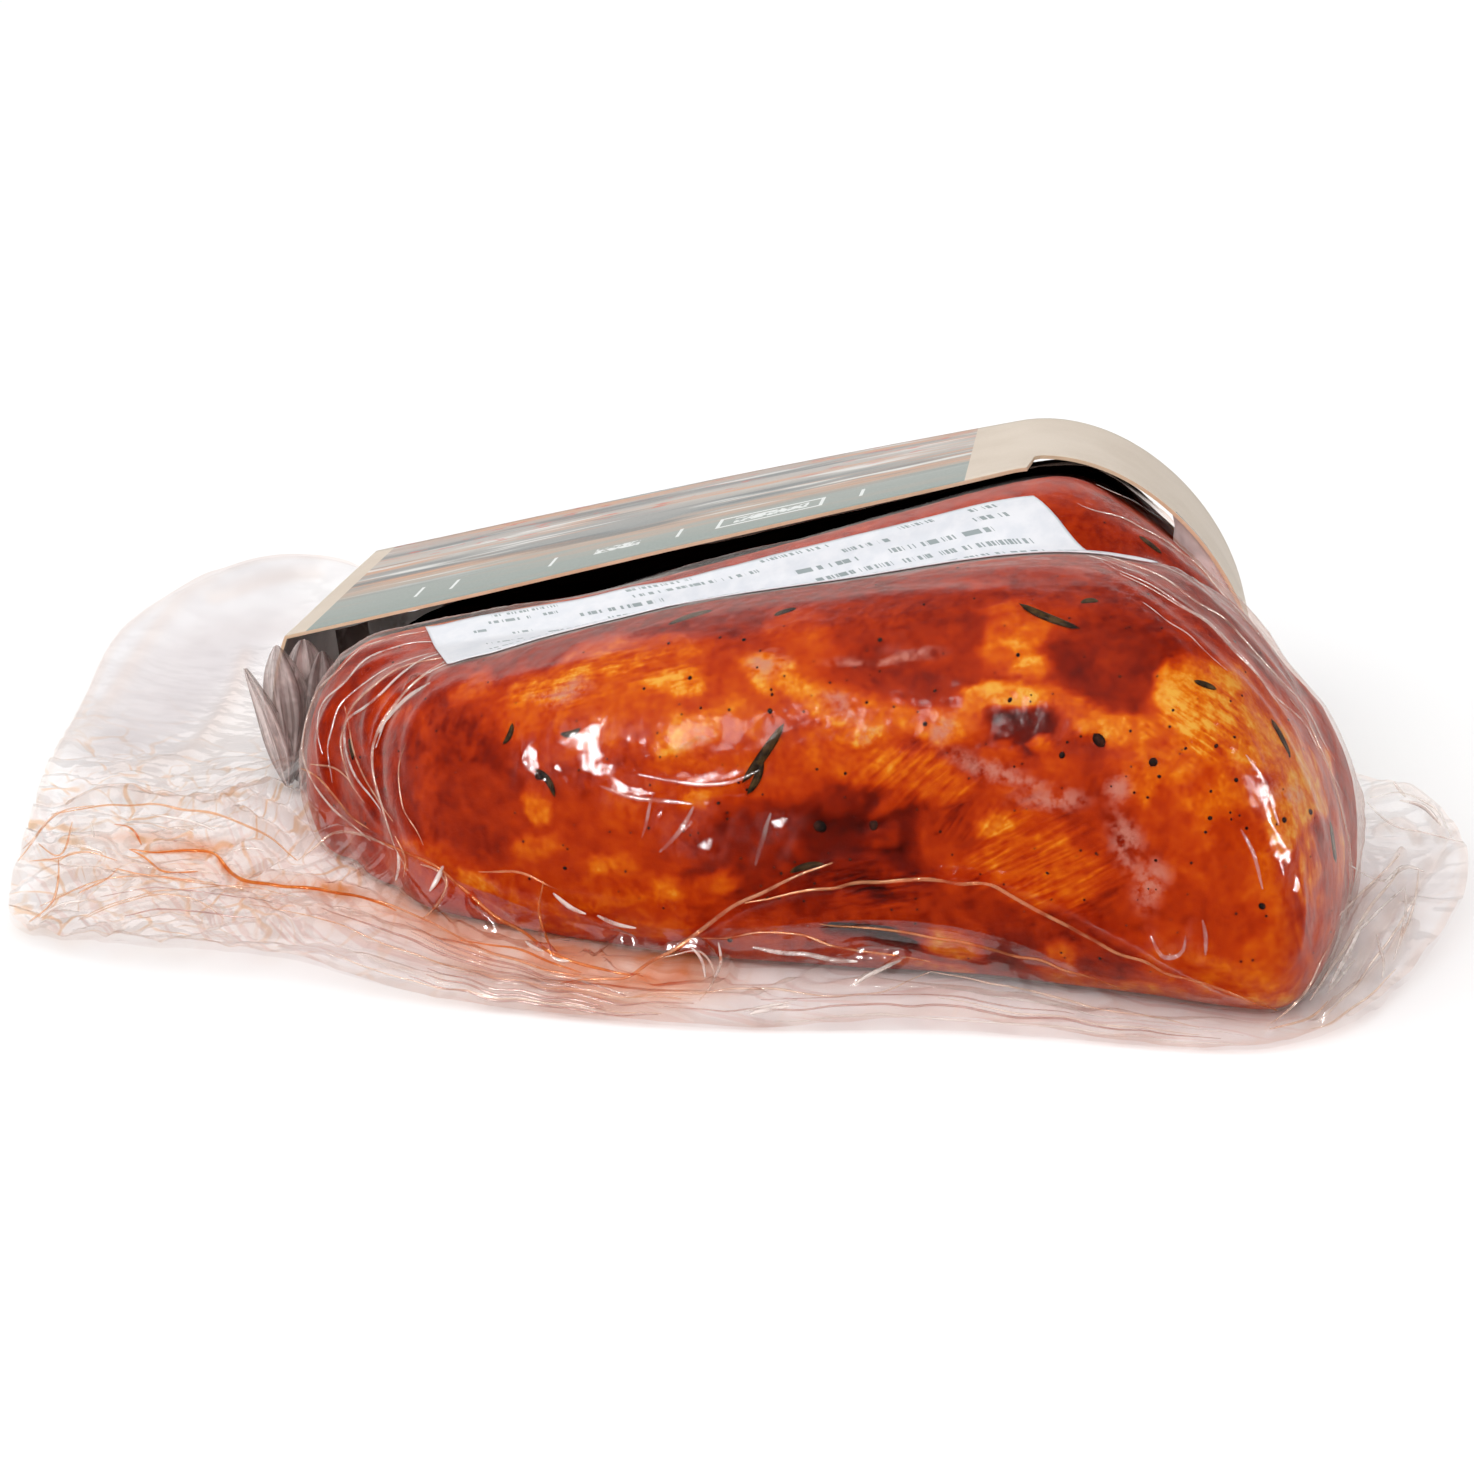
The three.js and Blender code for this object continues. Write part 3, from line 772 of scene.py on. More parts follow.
def station_curve(stations, x):
    """Smooth curve through the stations' columns, level with the next station at the middle ones."""
    table = np.asarray(stations, float)
    at, columns = table[:, 0], table[:, 1:]
    slopes = np.empty_like(columns)
    slopes[1:-1] = (columns[2:] - columns[:-2]) / (at[2:] - at[:-2])[:, None]
    slopes[0] = 1.5 * (columns[1] - columns[0]) / (at[1] - at[0]) - 0.5 * slopes[1]
    slopes[-1] = 1.5 * (columns[-1] - columns[-2]) / (at[-1] - at[-2]) - 0.5 * slopes[-2]
    x = np.clip(x, at[0], at[-1])
    i = np.clip(np.searchsorted(at, x, side="right") - 1, 0, len(at) - 2)
    gap = (at[i + 1] - at[i])[:, None]
    t = ((x - at[i]) / gap[:, 0])[:, None]
    a, b, slope_a, slope_b = columns[i], columns[i + 1], slopes[i] * gap, slopes[i + 1] * gap
    return ((2 * t**3 - 3 * t**2 + 1) * a + (t**3 - 2 * t**2 + t) * slope_a
            + (3 * t**2 - 2 * t**3) * b + (t**3 - t**2) * slope_b)


def rack_ends(rack):
    return rack["stations"][0][0], rack["stations"][-1][0]


def rack_section(rack, x):
    """A rack's front, crest, rear, top and belly at x, and the share of its section left at its ends."""
    x = np.atleast_1d(np.asarray(x, float))
    front, crest, rear, top = station_curve(rack["stations"], x).T
    left, right = rack_ends(rack)
    inset = np.maximum((left + rack["left_round"] - x) / rack["left_round"],
                       (x - right + rack["right_round"]) / rack["right_round"])
    n = rack["squareness"]
    share = (1 - np.clip(inset, 0, 1) ** n) ** (1 / n)
    return front, crest, rear, top, top * BELLY_SHARE, share


def rear_fall(rack, crest, rear, y):
    back = np.clip((y - crest) / (rear - crest), 0, 1)
    return rack["rear_fall"] * (1 - np.exp(-REAR_FALL_RATE * back))


def rack_mesh(rack, sections=110, sides=96):
    """A rack's closed surface: its points and faces."""
    left, right = rack_ends(rack)
    steps = np.linspace(0, 1, sections + 1)[1:-1]
    x = np.repeat(lerp(left, right, (1 - np.cos(np.pi * steps)) / 2), sides)
    angle = np.tile(np.linspace(0, 2 * np.pi, sides, endpoint=False), sections - 1)
    front, crest, rear, top, belly, share = rack_section(rack, x)
    n = rack["squareness"]
    across = signed_power(np.cos(angle), 2 / n)
    upward = signed_power(np.sin(angle), 2 / n)
    y = crest + share * across * np.where(across < 0, crest - front, rear - crest)
    reach = np.where(upward > 0, top - belly, belly + UNDERSIDE_SINK)
    fall = np.where(upward > 0, upward * rear_fall(rack, crest, rear, y) * share, 0)
    z = np.maximum(belly + share * upward * reach - fall, 0)
    tips = []
    for end in (left, right):
        _, crest_y, _, _, belly_z, _ = rack_section(rack, end)
        tips.append([end, crest_y[0], belly_z[0]])
    return np.vstack([np.stack([x, y, z], axis=1), tips]), capped_faces(sections - 1, sides)


def in_meat(x, y, z):
    """Whether points lie in any of the racks."""
    inside = np.zeros(len(x), bool)
    for rack in RACKS:
        left, right = rack_ends(rack)
        front, crest, rear, top, belly, share = rack_section(rack, x)
        reach = share * np.where(y < crest, crest - front, rear - crest)
        out = np.abs(y - crest) / np.maximum(reach, 1e-6)
        n = rack["squareness"]
        up = np.where(out < 1, (1 - np.minimum(out, 1) ** n) ** (1 / n), 0)
        high = belly + share * up * (top - belly - rear_fall(rack, crest, rear, y))
        low = belly - share * up * (belly + UNDERSIDE_SINK)
        inside |= (out < 1) & (z < high) & (z > low) & (x > left) & (x < right)
    return inside


VOXEL = 1.15  # millimetres
# The lowest that each layer may lie, in millimetres.
MEAT_FOOT = 0.35
FILM_FOOT = 0.15
WEB_FOOT = 0.75
UNDER_FOOT = 0.1
LEAF_FOOT = 0.8


def joined_racks():
    """The racks' shared outer surface as an even mesh of four-sided faces."""
    points, faces = joined(rack_mesh(rack) for rack in RACKS)
    mesh = bpy.data.meshes.new("racks_draft")
    mesh.from_pydata((points * MM).tolist(), [], faces)
    draft = add_object("racks_draft", mesh)
    remesh = draft.modifiers.new("remesh", "REMESH")
    remesh.mode = "VOXEL"
    remesh.voxel_size = VOXEL * MM
    ready = draft.evaluated_get(bpy.context.evaluated_depsgraph_get())
    even = bpy.data.meshes.new_from_object(ready)
    bpy.data.objects.remove(draft)
    quads = np.zeros(len(even.loops), np.int64)
    even.loops.foreach_get("vertex_index", quads)
    result = points_of(even), quads.reshape(-1, 4)
    bpy.data.meshes.remove(even)
    return result


# ---- Meat ----

# Patches of tissue on the side that faces the viewer, laid one over another: x, y of the middle in
# the picture, half its width, half its height, its turn in degrees counter-clockwise, and its tone
# from 0, nearly black, through 0.4, red, to 1, pale fat.
PATCHES = [
    # broad areas
    (450, 770, 84, 92, 0, 0.33), (620, 690, 140, 54, 6, 0.6), (800, 720, 110, 60, -14, 0.56),
    (640, 850, 140, 60, 4, 0.46), (780, 860, 90, 50, 0, 0.27), (910, 650, 92, 56, -4, 0.35),
    (880, 835, 74, 56, 0, 0.13), (1020, 840, 110, 66, -16, 0.5), (1100, 850, 66, 50, -20, 0.38),
    (1220, 760, 110, 90, -30, 0.62), (1220, 860, 90, 70, 0, 0.5), (1240, 970, 90, 56, -10, 0.56),
    (1000, 930, 170, 26, -8, 0.36), (1124, 655, 66, 58, -12, 0.27), (1080, 575, 150, 26, -10, 0.34),
    (700, 612, 260, 22, 10, 0.3), (1320, 790, 40, 70, -16, 0.36), (1310, 900, 24, 90, 8, 0.5),
    (370, 730, 60, 90, 10, 0.34), (1240, 620, 110, 30, -42, 0.3), (900, 505, 200, 22, 12, 0.42),
    (620, 560, 160, 18, 14, 0.34), (1180, 545, 80, 24, -40, 0.36), (560, 900, 160, 30, -4, 0.52),
    # the left half's orange and yellow
    (548, 684, 44, 13, 4, 0.78), (632, 668, 36, 14, 10, 0.7), (680, 680, 30, 14, 0, 0.84),
    (650, 697, 44, 12, -6, 0.64), (775, 678, 26, 16, -34, 0.82), (824, 710, 42, 17, -26, 0.84),
    (694, 734, 40, 22, 10, 0.8), (740, 720, 30, 20, -30, 0.7), (700, 776, 66, 30, 0, 0.56),
    (704, 798, 20, 8, 0, 0.78), (800, 636, 40, 26, -40, 0.54), (470, 682, 34, 8, 24, 0.56),
    (535, 812, 17, 20, 20, 0.74), (532, 850, 30, 12, 0, 0.7), (604, 872, 24, 11, -10, 0.72),
    (666, 898, 20, 12, 0, 0.68), (720, 884, 24, 12, 10, 0.6), (420, 790, 10, 60, 10, 0.42),
    (606, 812, 18, 22, 0, 0.56), (480, 800, 40, 30, 0, 0.36), (846, 770, 40, 16, -10, 0.6),
    (770, 790, 20, 30, -50, 0.5), (400, 720, 10, 30, 20, 0.5), (562, 740, 26, 22, 0, 0.5),
    (600, 905, 40, 10, 0, 0.62), (500, 905, 60, 16, -14, 0.6), (410, 860, 30, 24, 30, 0.58),
    # the deep red middle and the fat round it
    (1018, 634, 30, 42, -6, 0.64), (1030, 640, 17, 14, -20, 0.8), (1038, 666, 18, 12, 0, 0.82),
    (1010, 698, 48, 17, 0, 0.88), (980, 714, 16, 20, 0, 0.8), (1080, 702, 44, 13, -30, 0.68),
    (1118, 724, 34, 12, 6, 0.8), (1034, 736, 30, 22, 0, 0.14), (1048, 750, 12, 9, 0, 0.76),
    (1012, 758, 20, 12, 0, 0.56), (905, 722, 90, 20, -10, 0.66), (940, 735, 30, 12, 0, 0.76),
    (868, 735, 16, 8, 0, 0.84), (1070, 770, 30, 16, -20, 0.5), (905, 800, 34, 14, 24, 0.42),
    (900, 872, 36, 14, -24, 0.3), (846, 802, 26, 12, 20, 0.24), (932, 846, 16, 30, 14, 0.38),
    (838, 868, 30, 12, 16, 0.22), (880, 838, 14, 9, 40, 0.3),
    # the fans of fibres
    (928, 782, 54, 26, -6, 0.62), (1040, 862, 66, 44, -14, 0.62), (970, 830, 34, 28, 40, 0.4),
    (1004, 836, 24, 14, 0, 0.74), (900, 770, 26, 12, 0, 0.7),
    # the thick right end
    (1200, 704, 46, 38, -24, 0.84), (1172, 690, 16, 26, 0, 0.86), (1260, 740, 52, 24, -36, 0.78),
    (1304, 800, 22, 60, -14, 0.86), (1320, 880, 12, 40, 0, 0.72), (1150, 770, 20, 30, 20, 0.68),
    (1180, 760, 20, 22, 0, 0.7), (1222, 800, 36, 18, 0, 0.72), (1240, 850, 40, 44, 0, 0.5),
    (1206, 832, 14, 20, 0, 0.6), (1160, 810, 16, 34, -20, 0.5), (1270, 900, 16, 50, -6, 0.62),
    (1226, 920, 50, 24, 0, 0.46), (1250, 985, 60, 26, -10, 0.66), (1190, 956, 36, 14, -14, 0.62),
    (1286, 950, 12, 50, 6, 0.6), (1270, 1004, 30, 12, 0, 0.76),
    # the marinade that gathers at the left foot
    (430, 872, 44, 26, -42, 0.6), (505, 912, 76, 18, -20, 0.66), (610, 938, 84, 15, -4, 0.64),
    (470, 888, 20, 10, -30, 0.74), (560, 925, 26, 8, -10, 0.74),
    # under the taut fold
    # painted shade: the first, nearly black patch darkens the slot beneath the taut fold
    (874, 932, 56, 11, -6, 0.02), (955, 941, 36, 13, -10, 0.78), (1069, 951, 18, 16, 0, 0.64),
    (1012, 944, 26, 16, 0, 0.24), (1110, 962, 30, 16, -10, 0.3), (930, 962, 70, 7, -8, 0.7),
    (1120, 984, 80, 8, -12, 0.66), (780, 934, 40, 8, 6, 0.56),
]
# Where the tissue is streaked along its fibres, and where pale sinew shows.
FIBRE_PATCHES = [  # the last number is the fibres' direction in degrees
    (928, 782, 62, 34, -6, 42), (1044, 860, 84, 56, -14, 26), (980, 826, 50, 28, 0, 55),
    (1316, 900, 16, 60, 0, -80), (610, 680, 100, 20, 6, 12), (1200, 720, 50, 36, 0, -36),
    (880, 880, 60, 20, 0, 10),
]
SINEW_PATCHES = [
    (775, 672, 15, 12, -30), (836, 712, 22, 9, -24), (869, 734, 9, 7, 0), (944, 734, 10, 10, 0),
    (1006, 775, 48, 8, -24), (1054, 799, 34, 8, 14), (1127, 832, 12, 34, 16), (1155, 878, 14, 22, 20),
    (880, 655, 50, 5, 4), (1124, 775, 10, 10, 0), (700, 740, 14, 6, 0), (1290, 796, 12, 10, 0),
    (560, 690, 26, 6, 0),
]


PIXELS_PER_MM = 5.5  # in the picture, about the middle of the pack
FIBRE_LENGTH = 8
FIBRE_WIDTH = 1.0


def view_facing(points, normals):
    """How far surfaces turn towards the viewer: 1 straight on, 0 or less edge-on or away."""
    to_eye = EYE - points
    to_eye /= np.linalg.norm(to_eye, axis=1, keepdims=True)
    return np.sum(normals * to_eye, axis=1)


def patch_share(at, patch, soft=0.22):
    """How far each place of the picture lies in a patch's oval, from 0 to 1."""
    x, y, half_wide, half_high, turn = patch[:5]
    dx, dy = at[:, 0] - x, y - at[:, 1]
    c, s = math.cos(math.radians(turn)), math.sin(math.radians(turn))
    out = np.hypot((dx * c + dy * s) / half_wide, (dy * c - dx * s) / half_high)
    return smoothstep(1 + soft, 1 - soft, out)


def largest_share(at, patches):
    return np.maximum.reduce([patch_share(at, patch, 0.6) for patch in patches])


# How the patches' outlines are frayed: features in millimetres, reach in pixels, seed.
FRAYS = ((20, 20, 31), (8, 11, 41), (3.2, 6, 51))


def tissue(points, normals):
    """Each point's tone, how streaked it is and how much pale sinew shows."""
    plain = to_picture(points)
    at = plain
    for size, reach, seed in FRAYS:
        at = pushed(at, points, reach, size, seed, 2)
    seen = smoothstep(0.02, 0.25, view_facing(points, normals))
    stretched = points * (1, 1, 1.5)
    grown = 0.42 + 0.5 * layered_noise(stretched, 30, 4, 200)
    grown = np.where(grown > 0.5, 0.5 + (grown - 0.5) * 1.8, grown)
    tone = 0.4 + 0.08 * layered_noise(points, 16, 3, 210)
    for patch in PATCHES:
        tone = lerp(tone, patch[5], patch_share(at, patch))
    streaked, direction = np.zeros(len(points)), np.full(len(points), 20.0)
    for patch in FIBRE_PATCHES:
        share = patch_share(at, patch, 0.5)
        direction = np.where(share > streaked, patch[5], direction)
        streaked = np.maximum(streaked, share)
    c, s = np.cos(np.radians(direction)), np.sin(np.radians(direction))
    along = np.where(seen > 0.02, plain[:, 0] * c - plain[:, 1] * s, points[:, 0] * PIXELS_PER_MM)
    upright = (points[:, 1] + points[:, 2]) * PIXELS_PER_MM
    across = np.where(seen > 0.02, plain[:, 0] * s + plain[:, 1] * c, upright)
    pale = largest_share(at, SINEW_PATCHES)
    grown_fibres = 0.35 * smoothstep(0, 0.5, layered_noise(stretched, 26, 2, 220))
    grown_sinew = 0.8 * smoothstep(0.4, 0.6, layered_noise(stretched, 14, 3, 230))
    return {
        "tone": np.clip(lerp(grown, tone, seen), 0, 1),
        "fibre_along": along / PIXELS_PER_MM / FIBRE_LENGTH,
        "fibre_across": across / PIXELS_PER_MM / FIBRE_WIDTH,
        "fibres": lerp(grown_fibres, streaked * 0.7, seen),
        "sinew": lerp(grown_sinew, pale * 0.8, seen),
    }


def near_label(points):
    """1 where the film lies tight over the crest in front of the label and in the valley under it."""
    return within(points[:, 1], -64, -56, -22, -14) * within(points[:, 0], -60, -48, 86, 96)


def make_meat(base, faces, normals):
    """The racks with their relief; also their points, for the film to clear."""
    shares = tissue(base, normals)
    height = -0.25 + 0.5 * layered_noise(base, 19, 2, 61) + 0.3 * layered_noise(base, 6.5, 3, 71)
    height += 0.9 * (shares["tone"] - 0.5) - smoothstep(0.25, 0.05, shares["tone"])
    height = lerp(np.minimum(height, 0.15), 0.0, near_label(base))
    height *= smoothstep(-0.2, 2.5, base[:, 2])
    points = base + normals * height[:, None]
    points[:, 2] = np.maximum(points[:, 2], MEAT_FOOT)
    return add_mesh("rib_racks", points, faces, meat_material(), shares), points


# ---- Film over the meat ----

# Creases are a line of the picture, half their width in pixels, and their height in millimetres.
CREASE_REACH = 5  # half widths beyond which a crease has no height left
# Wrinkles of the film over the meat:
WRINKLES = [
    # nested arcs round the left end of the front rack
    ([(520, 640), (450, 662), (398, 695), (376, 740), (384, 800), (404, 846)], 4, 0.9),
    ([(500, 652), (440, 676), (406, 706), (390, 748), (396, 800), (420, 850)], 5, 0.6),
    ([(470, 676), (430, 700), (412, 730), (406, 770)], 6, 0.5),
    ([(440, 656), (392, 678), (360, 708), (350, 742), (362, 790), (390, 836)], 4, 0.8),
    ([(430, 648), (372, 668), (334, 704), (322, 740), (330, 780), (356, 822)], 4, 0.8),
    ([(410, 640), (350, 662), (316, 698), (306, 740)], 4, 0.6),
    ([(420, 660), (380, 690), (366, 730), (372, 780)], 3, 0.5),
    ([(404, 720), (396, 760), (404, 806), (430, 856)], 4, 0.4),
    # ridge lines in front of the label
    ([(450, 662), (560, 624), (700, 592), (860, 570), (1000, 556), (1080, 552)], 5, 0.8),
    ([(470, 668), (580, 634), (720, 604), (880, 582), (1040, 570), (1120, 580)], 6, 0.5),
    ([(600, 640), (740, 612), (900, 596), (1040, 590)], 7, 0.4),
    ([(480, 690), (560, 668), (640, 650)], 6, 0.35),
    # the fan over the right shoulder
    ([(1070, 540), (1150, 566), (1220, 616), (1280, 684), (1316, 744)], 4, 0.8),
    ([(1080, 552), (1150, 586), (1210, 632), (1264, 694), (1304, 756)], 4, 0.7),
    ([(1084, 566), (1150, 606), (1204, 652), (1250, 706)], 5, 0.6),
    ([(1090, 582), (1146, 618), (1190, 660)], 5, 0.5),
    ([(1060, 528), (1130, 540), (1210, 590), (1270, 650), (1320, 716)], 5, 0.6),
    ([(1100, 600), (1140, 630), (1170, 664)], 5, 0.4),
    ([(1240, 650), (1290, 710), (1324, 780), (1336, 840)], 4, 0.7),
    ([(1220, 660), (1270, 720), (1306, 790), (1322, 850)], 4, 0.5),
    ([(1050, 512), (1120, 528), (1180, 562)], 4, 0.5),
    ([(1110, 480), (1160, 520), (1230, 580), (1290, 650)], 5, 0.6),
    ([(1090, 478), (1140, 512), (1200, 566)], 4, 0.5),
    # short creases in the gloss of the front
    ([(540, 730), (524, 764), (520, 792)], 4, 0.7), ([(560, 722), (546, 752), (536, 786)], 4, -0.6),
    ([(604, 742), (580, 762)], 5, -0.6), ([(626, 742), (606, 756)], 4, -0.5),
    ([(602, 768), (580, 784)], 4, -0.6), ([(660, 800), (652, 838)], 4, -0.6),
    ([(690, 806), (664, 850)], 4, 0.6), ([(720, 808), (690, 856)], 4, -0.5),
    ([(748, 812), (732, 846)], 4, 0.6), ([(772, 812), (760, 862)], 4, -0.6),
    ([(798, 806), (778, 852)], 4, 0.6), ([(812, 822), (794, 862)], 4, -0.5),
    ([(640, 776), (700, 784), (752, 776)], 4, 0.6),
    ([(600, 790), (660, 800), (730, 800), (800, 800)], 5, 0.5),
    ([(820, 868), (774, 888), (730, 912)], 3, 0.7),
    # right side, and the tucks near the foot
    ([(1244, 752), (1266, 790), (1286, 830), (1290, 860)], 5, 0.6),
    ([(1262, 836), (1276, 866), (1284, 890)], 3, 0.6),
    ([(1290, 850), (1300, 900), (1296, 960)], 4, 0.6),
    ([(1306, 840), (1318, 900), (1312, 950)], 4, -0.5),
    ([(1156, 940), (1170, 956), (1184, 940)], 3, 0.7), ([(1196, 930), (1206, 954)], 3, 0.6),
    ([(1140, 924), (1160, 952)], 3, 0.5),
    ([(880, 882), (960, 872), (1040, 890), (1120, 930), (1200, 972), (1270, 1004)], 4, 1.3),
    ([(640, 948), (700, 926), (760, 900), (820, 886), (880, 882)], 4, 1.2),
    ([(800, 640), (900, 660), (1000, 690)], 3, 0.15),
    ([(740, 760), (820, 720), (930, 702), (1000, 696)], 2, 0.25),
    ([(480, 870), (560, 884), (640, 896)], 4, 0.5),
    ([(430, 850), (500, 880), (560, 900), (620, 930)], 4, 0.7),
    ([(400, 830), (450, 870), (520, 912), (600, 950)], 5, 0.6),
    ([(545, 880), (548, 910), (552, 950)], 4, 0.7), ([(500, 872), (510, 905), (540, 940)], 4, 0.5),
]


def crease_heights(at, creases, ends, cap, seen):
    """The height of named creases at places of the picture, and how close one is, up to the cap."""
    height, closeness = np.zeros(len(at)), np.zeros(len(at))
    for line, half_width, lift in creases:
        line = rounded_line(line)
        reach = CREASE_REACH * half_width
        near = np.flatnonzero(np.all((at > line.min(0) - reach) & (at < line.max(0) + reach), axis=1))
        away, along = line_distance(at[near], line)
        shape = np.exp(-((away / half_width) ** 2)) * within(along, 0, ends, 1 - ends, 1) * seen[near]
        height[near] += lift * shape
        closeness[near] = np.maximum(closeness[near], min(abs(lift), cap) * shape)
    return height, closeness


# Flat spots of the film that catch a light: x, y, half the width and half the height in the
# picture, turn in degrees, and which light.
FACETS = [
    (572, 742, 22, 20, -20, "key"), (614, 745, 30, 18, 24, "key"), (598, 770, 32, 14, 20, "key"),
    (536, 764, 14, 28, 30, "key"), (624, 788, 22, 12, 30, "key"), (594, 744, 40, 26, 0, "key"),
    (690, 838, 40, 18, -20, "key"), (770, 826, 34, 14, 10, "key"), (560, 768, 9, 20, 40, "key"),
    (640, 790, 12, 14, 30, "key"), (664, 812, 7, 22, -24, "key"), (690, 822, 12, 22, -40, "key"),
    (706, 806, 12, 10, 0, "key"), (736, 822, 4, 16, -30, "key"), (762, 838, 6, 24, -20, "key"),
    (776, 822, 12, 8, 30, "key"), (792, 842, 5, 22, -24, "key"), (650, 778, 26, 4, -8, "key"),
    (704, 780, 18, 4, 20, "key"), (740, 772, 14, 5, 30, "key"), (814, 868, 22, 3, 30, "key"),
    (722, 848, 6, 5, 0, "key"), (1262, 792, 8, 44, 16, "strip"), (1284, 838, 8, 44, 4, "strip"),
    (1294, 880, 6, 22, -4, "strip"), (1275, 862, 4, 26, 16, "strip"), (1170, 950, 8, 6, 20, "key"),
    (1190, 930, 4, 12, -20, "key"), (1200, 952, 4, 12, -10, "key"), (1154, 938, 5, 14, 30, "key"),
    (1180, 942, 8, 4, 0, "key"), (905, 652, 26, 3, -4, "key"), (770, 770, 4, 3, 0, "key"),
    (416, 690, 14, 5, 36, "key"),
]
FACET_REACH = 2.2  # the furthest a flat spot lies from the film's own surface, in millimetres


def facet_heights(points, normals, facing):
    """How far the film moves to make its flat spots, and the share of each point in them."""
    at = pushed(to_picture(points), points, 2.2, 4, 85)
    height, gleam = np.zeros(len(points)), np.zeros(len(points))
    for *patch, light in FACETS:
        share = patch_share(at, patch, 0.5) * (facing > 0.05)
        if share.max() < 0.2:
            continue
        middle = np.average(points, axis=0, weights=share)
        to_eye = (EYE - middle) / np.linalg.norm(EYE - middle)
        to_light = np.array(KEY_PLACE if light == "key" else STRIP_PLACE) - middle
        mirror = to_eye + to_light / np.linalg.norm(to_light)
        mirror /= np.linalg.norm(mirror)
        move = ((middle - points) @ mirror) / np.maximum(normals @ mirror, 0.3)
        height = lerp(height, np.clip(move + 0.2, -0.4, FACET_REACH), share)
        gleam = np.maximum(gleam, share)
    return height, gleam


def grown_wrinkles(points, hidden):
    """Long soft wrinkles on the sides that the picture doesn't show."""
    slanted = np.stack([points[:, 0] * 0.25 + points[:, 1], points[:, 2] * 0.5 - points[:, 0] * 0.1], axis=1)
    wave = 1 - np.abs(layered_noise(slanted, 9, 2, 91)) * 2.2
    return hidden * np.clip(wave, 0, 1) ** 2


def under_label(points):
    """1 well inside the label's outline, 0 outside it."""
    return within(points[:, 0], -52, -44, 78, 88) * within(points[:, 1], -53, -48, -30, -25)


def under_card(points):
    """1 where the card lies close above the pack, 0 where it is open to the light; it sets where painted shade
    darkens the film.
    """
    x, y, z = points.T
    across = within(y, -10, -3, CARD_REAR - 4, CARD_REAR + 2)
    notch = smoothstep(CARD_NOTCH_X - 6, CARD_NOTCH_X + 4, x) * smoothstep(8, -2, y)
    return across * (1 - notch) * within(x, -86, -78, 74, 84) * smoothstep(12, 24, z)


def out_of_light(points):
    """1 where the film only mirrors the dark under the card, 0 elsewhere."""
    return (within(points[:, 1], -24, -16, CARD_REAR - 4, CARD_REAR + 2)
            * within(points[:, 0], -84, -70, 94, 106))


FILM_GAP = 0.22  # the least clearance between the film and the meat, in millimetres


def make_film(base, faces, meat_points):
    """The shrunk film: it bridges the hollows between the racks and wrinkles."""
    taut = relaxed(base, face_edges(faces), 8)
    normals = normals_of(taut, faces)
    facing = view_facing(taut, normals)
    at = pushed(to_picture(taut), taut, 2.0, 7, 81)
    wrinkles, closeness = crease_heights(at, WRINKLES, 0.12, math.inf, smoothstep(0.0, 0.2, facing))
    spread = grown_wrinkles(taut, smoothstep(0.25, 0.0, facing))
    calm = 1 - 0.85 * under_label(taut)
    flat, gleam = facet_heights(taut, normals, facing)
    ripples = wrinkles + 0.8 * spread + 0.12 * layered_noise(taut, 5, 2, 95)
    height = 0.35 - 0.1 * near_label(taut) + flat + calm * (1 - 0.85 * gleam) * ripples
    points = taut + normals * height[:, None]
    clearance = np.sum((points - meat_points) * normals, axis=1)
    points += normals * np.maximum(FILM_GAP - clearance, 0)[:, None]
    points[:, 2] = np.maximum(points[:, 2], FILM_FOOT)
    kept = faces[base[faces, 2].max(axis=1) > 1.0]
    used, order = np.unique(kept, return_inverse=True)
    # the film's painted shade under the card is kept as a value at each point
    values = {"crease": np.clip(closeness + 0.4 * spread, 0, 1)[used], "painted_card_shade": under_card(points)[used],
              "dull": out_of_light(points)[used], "gleam": gleam[used]}
    return add_mesh("film_over_meat", points[used], order.reshape(-1, 4), meat_film_material(), values)


# ---- The margin's two webs ----


def closed_curve(rows, count):
    """A closed smooth curve through rows of numbers, at even parameter steps."""
    at = np.arange(count) / count * len(rows)
    i = np.floor(at).astype(int)
    return crossed_spline(*(rows[(i + k) % len(rows)] for k in (-1, 0, 1, 2)), (at - i)[:, None])


def margin_edge(count):
    """The margin's edge at even distances, stretched to the bag's length and depth."""
    dense = closed_curve(MARGIN_EDGE, 6000)
    for column, size in enumerate((BAG_LENGTH, BAG_DEPTH)):
        low, high = dense[:, column].min(), dense[:, column].max()
        dense[:, column] = (dense[:, column] - (low + high) / 2) * size / (high - low)
    steps = np.linalg.norm(np.diff(dense[:, :2], axis=0, append=dense[:1, :2]), axis=1)
    passed = np.concatenate([[0], np.cumsum(steps)])
    wanted = np.arange(count) / count * passed[-1]
    looped = np.vstack([dense, dense[:1]])
    even = np.stack([np.interp(wanted, passed, looped[:, k]) for k in range(dense.shape[1])], axis=1)
    return even, wanted


def meat_foot(edge, heights):
    """Where a straight line from each edge point to the margin's centre meets the meat, at those heights."""
    outline = np.zeros(len(edge))
    for share in np.linspace(0, 1, 160):
        x, y = lerp(MARGIN_CENTRE, edge[:, :2], share).T
        outline = np.where(in_meat(x, y, heights), share, outline)
    padded = np.concatenate([outline[-6:], outline, outline[:6]])
    outline = np.convolve(padded, np.ones(13) / 13, mode="valid")
    return lerp(MARGIN_CENTRE, edge[:, :2], outline[:, None])


WEB_STEPS = 1000
WEB_ROWS = 76

# The line of marinade that ran along a crease.
ORANGE_LINE = ([(133, 852), (206, 852), (226, 868), (241, 883), (297, 885), (362, 896), (396, 912)], 3, 1.0)

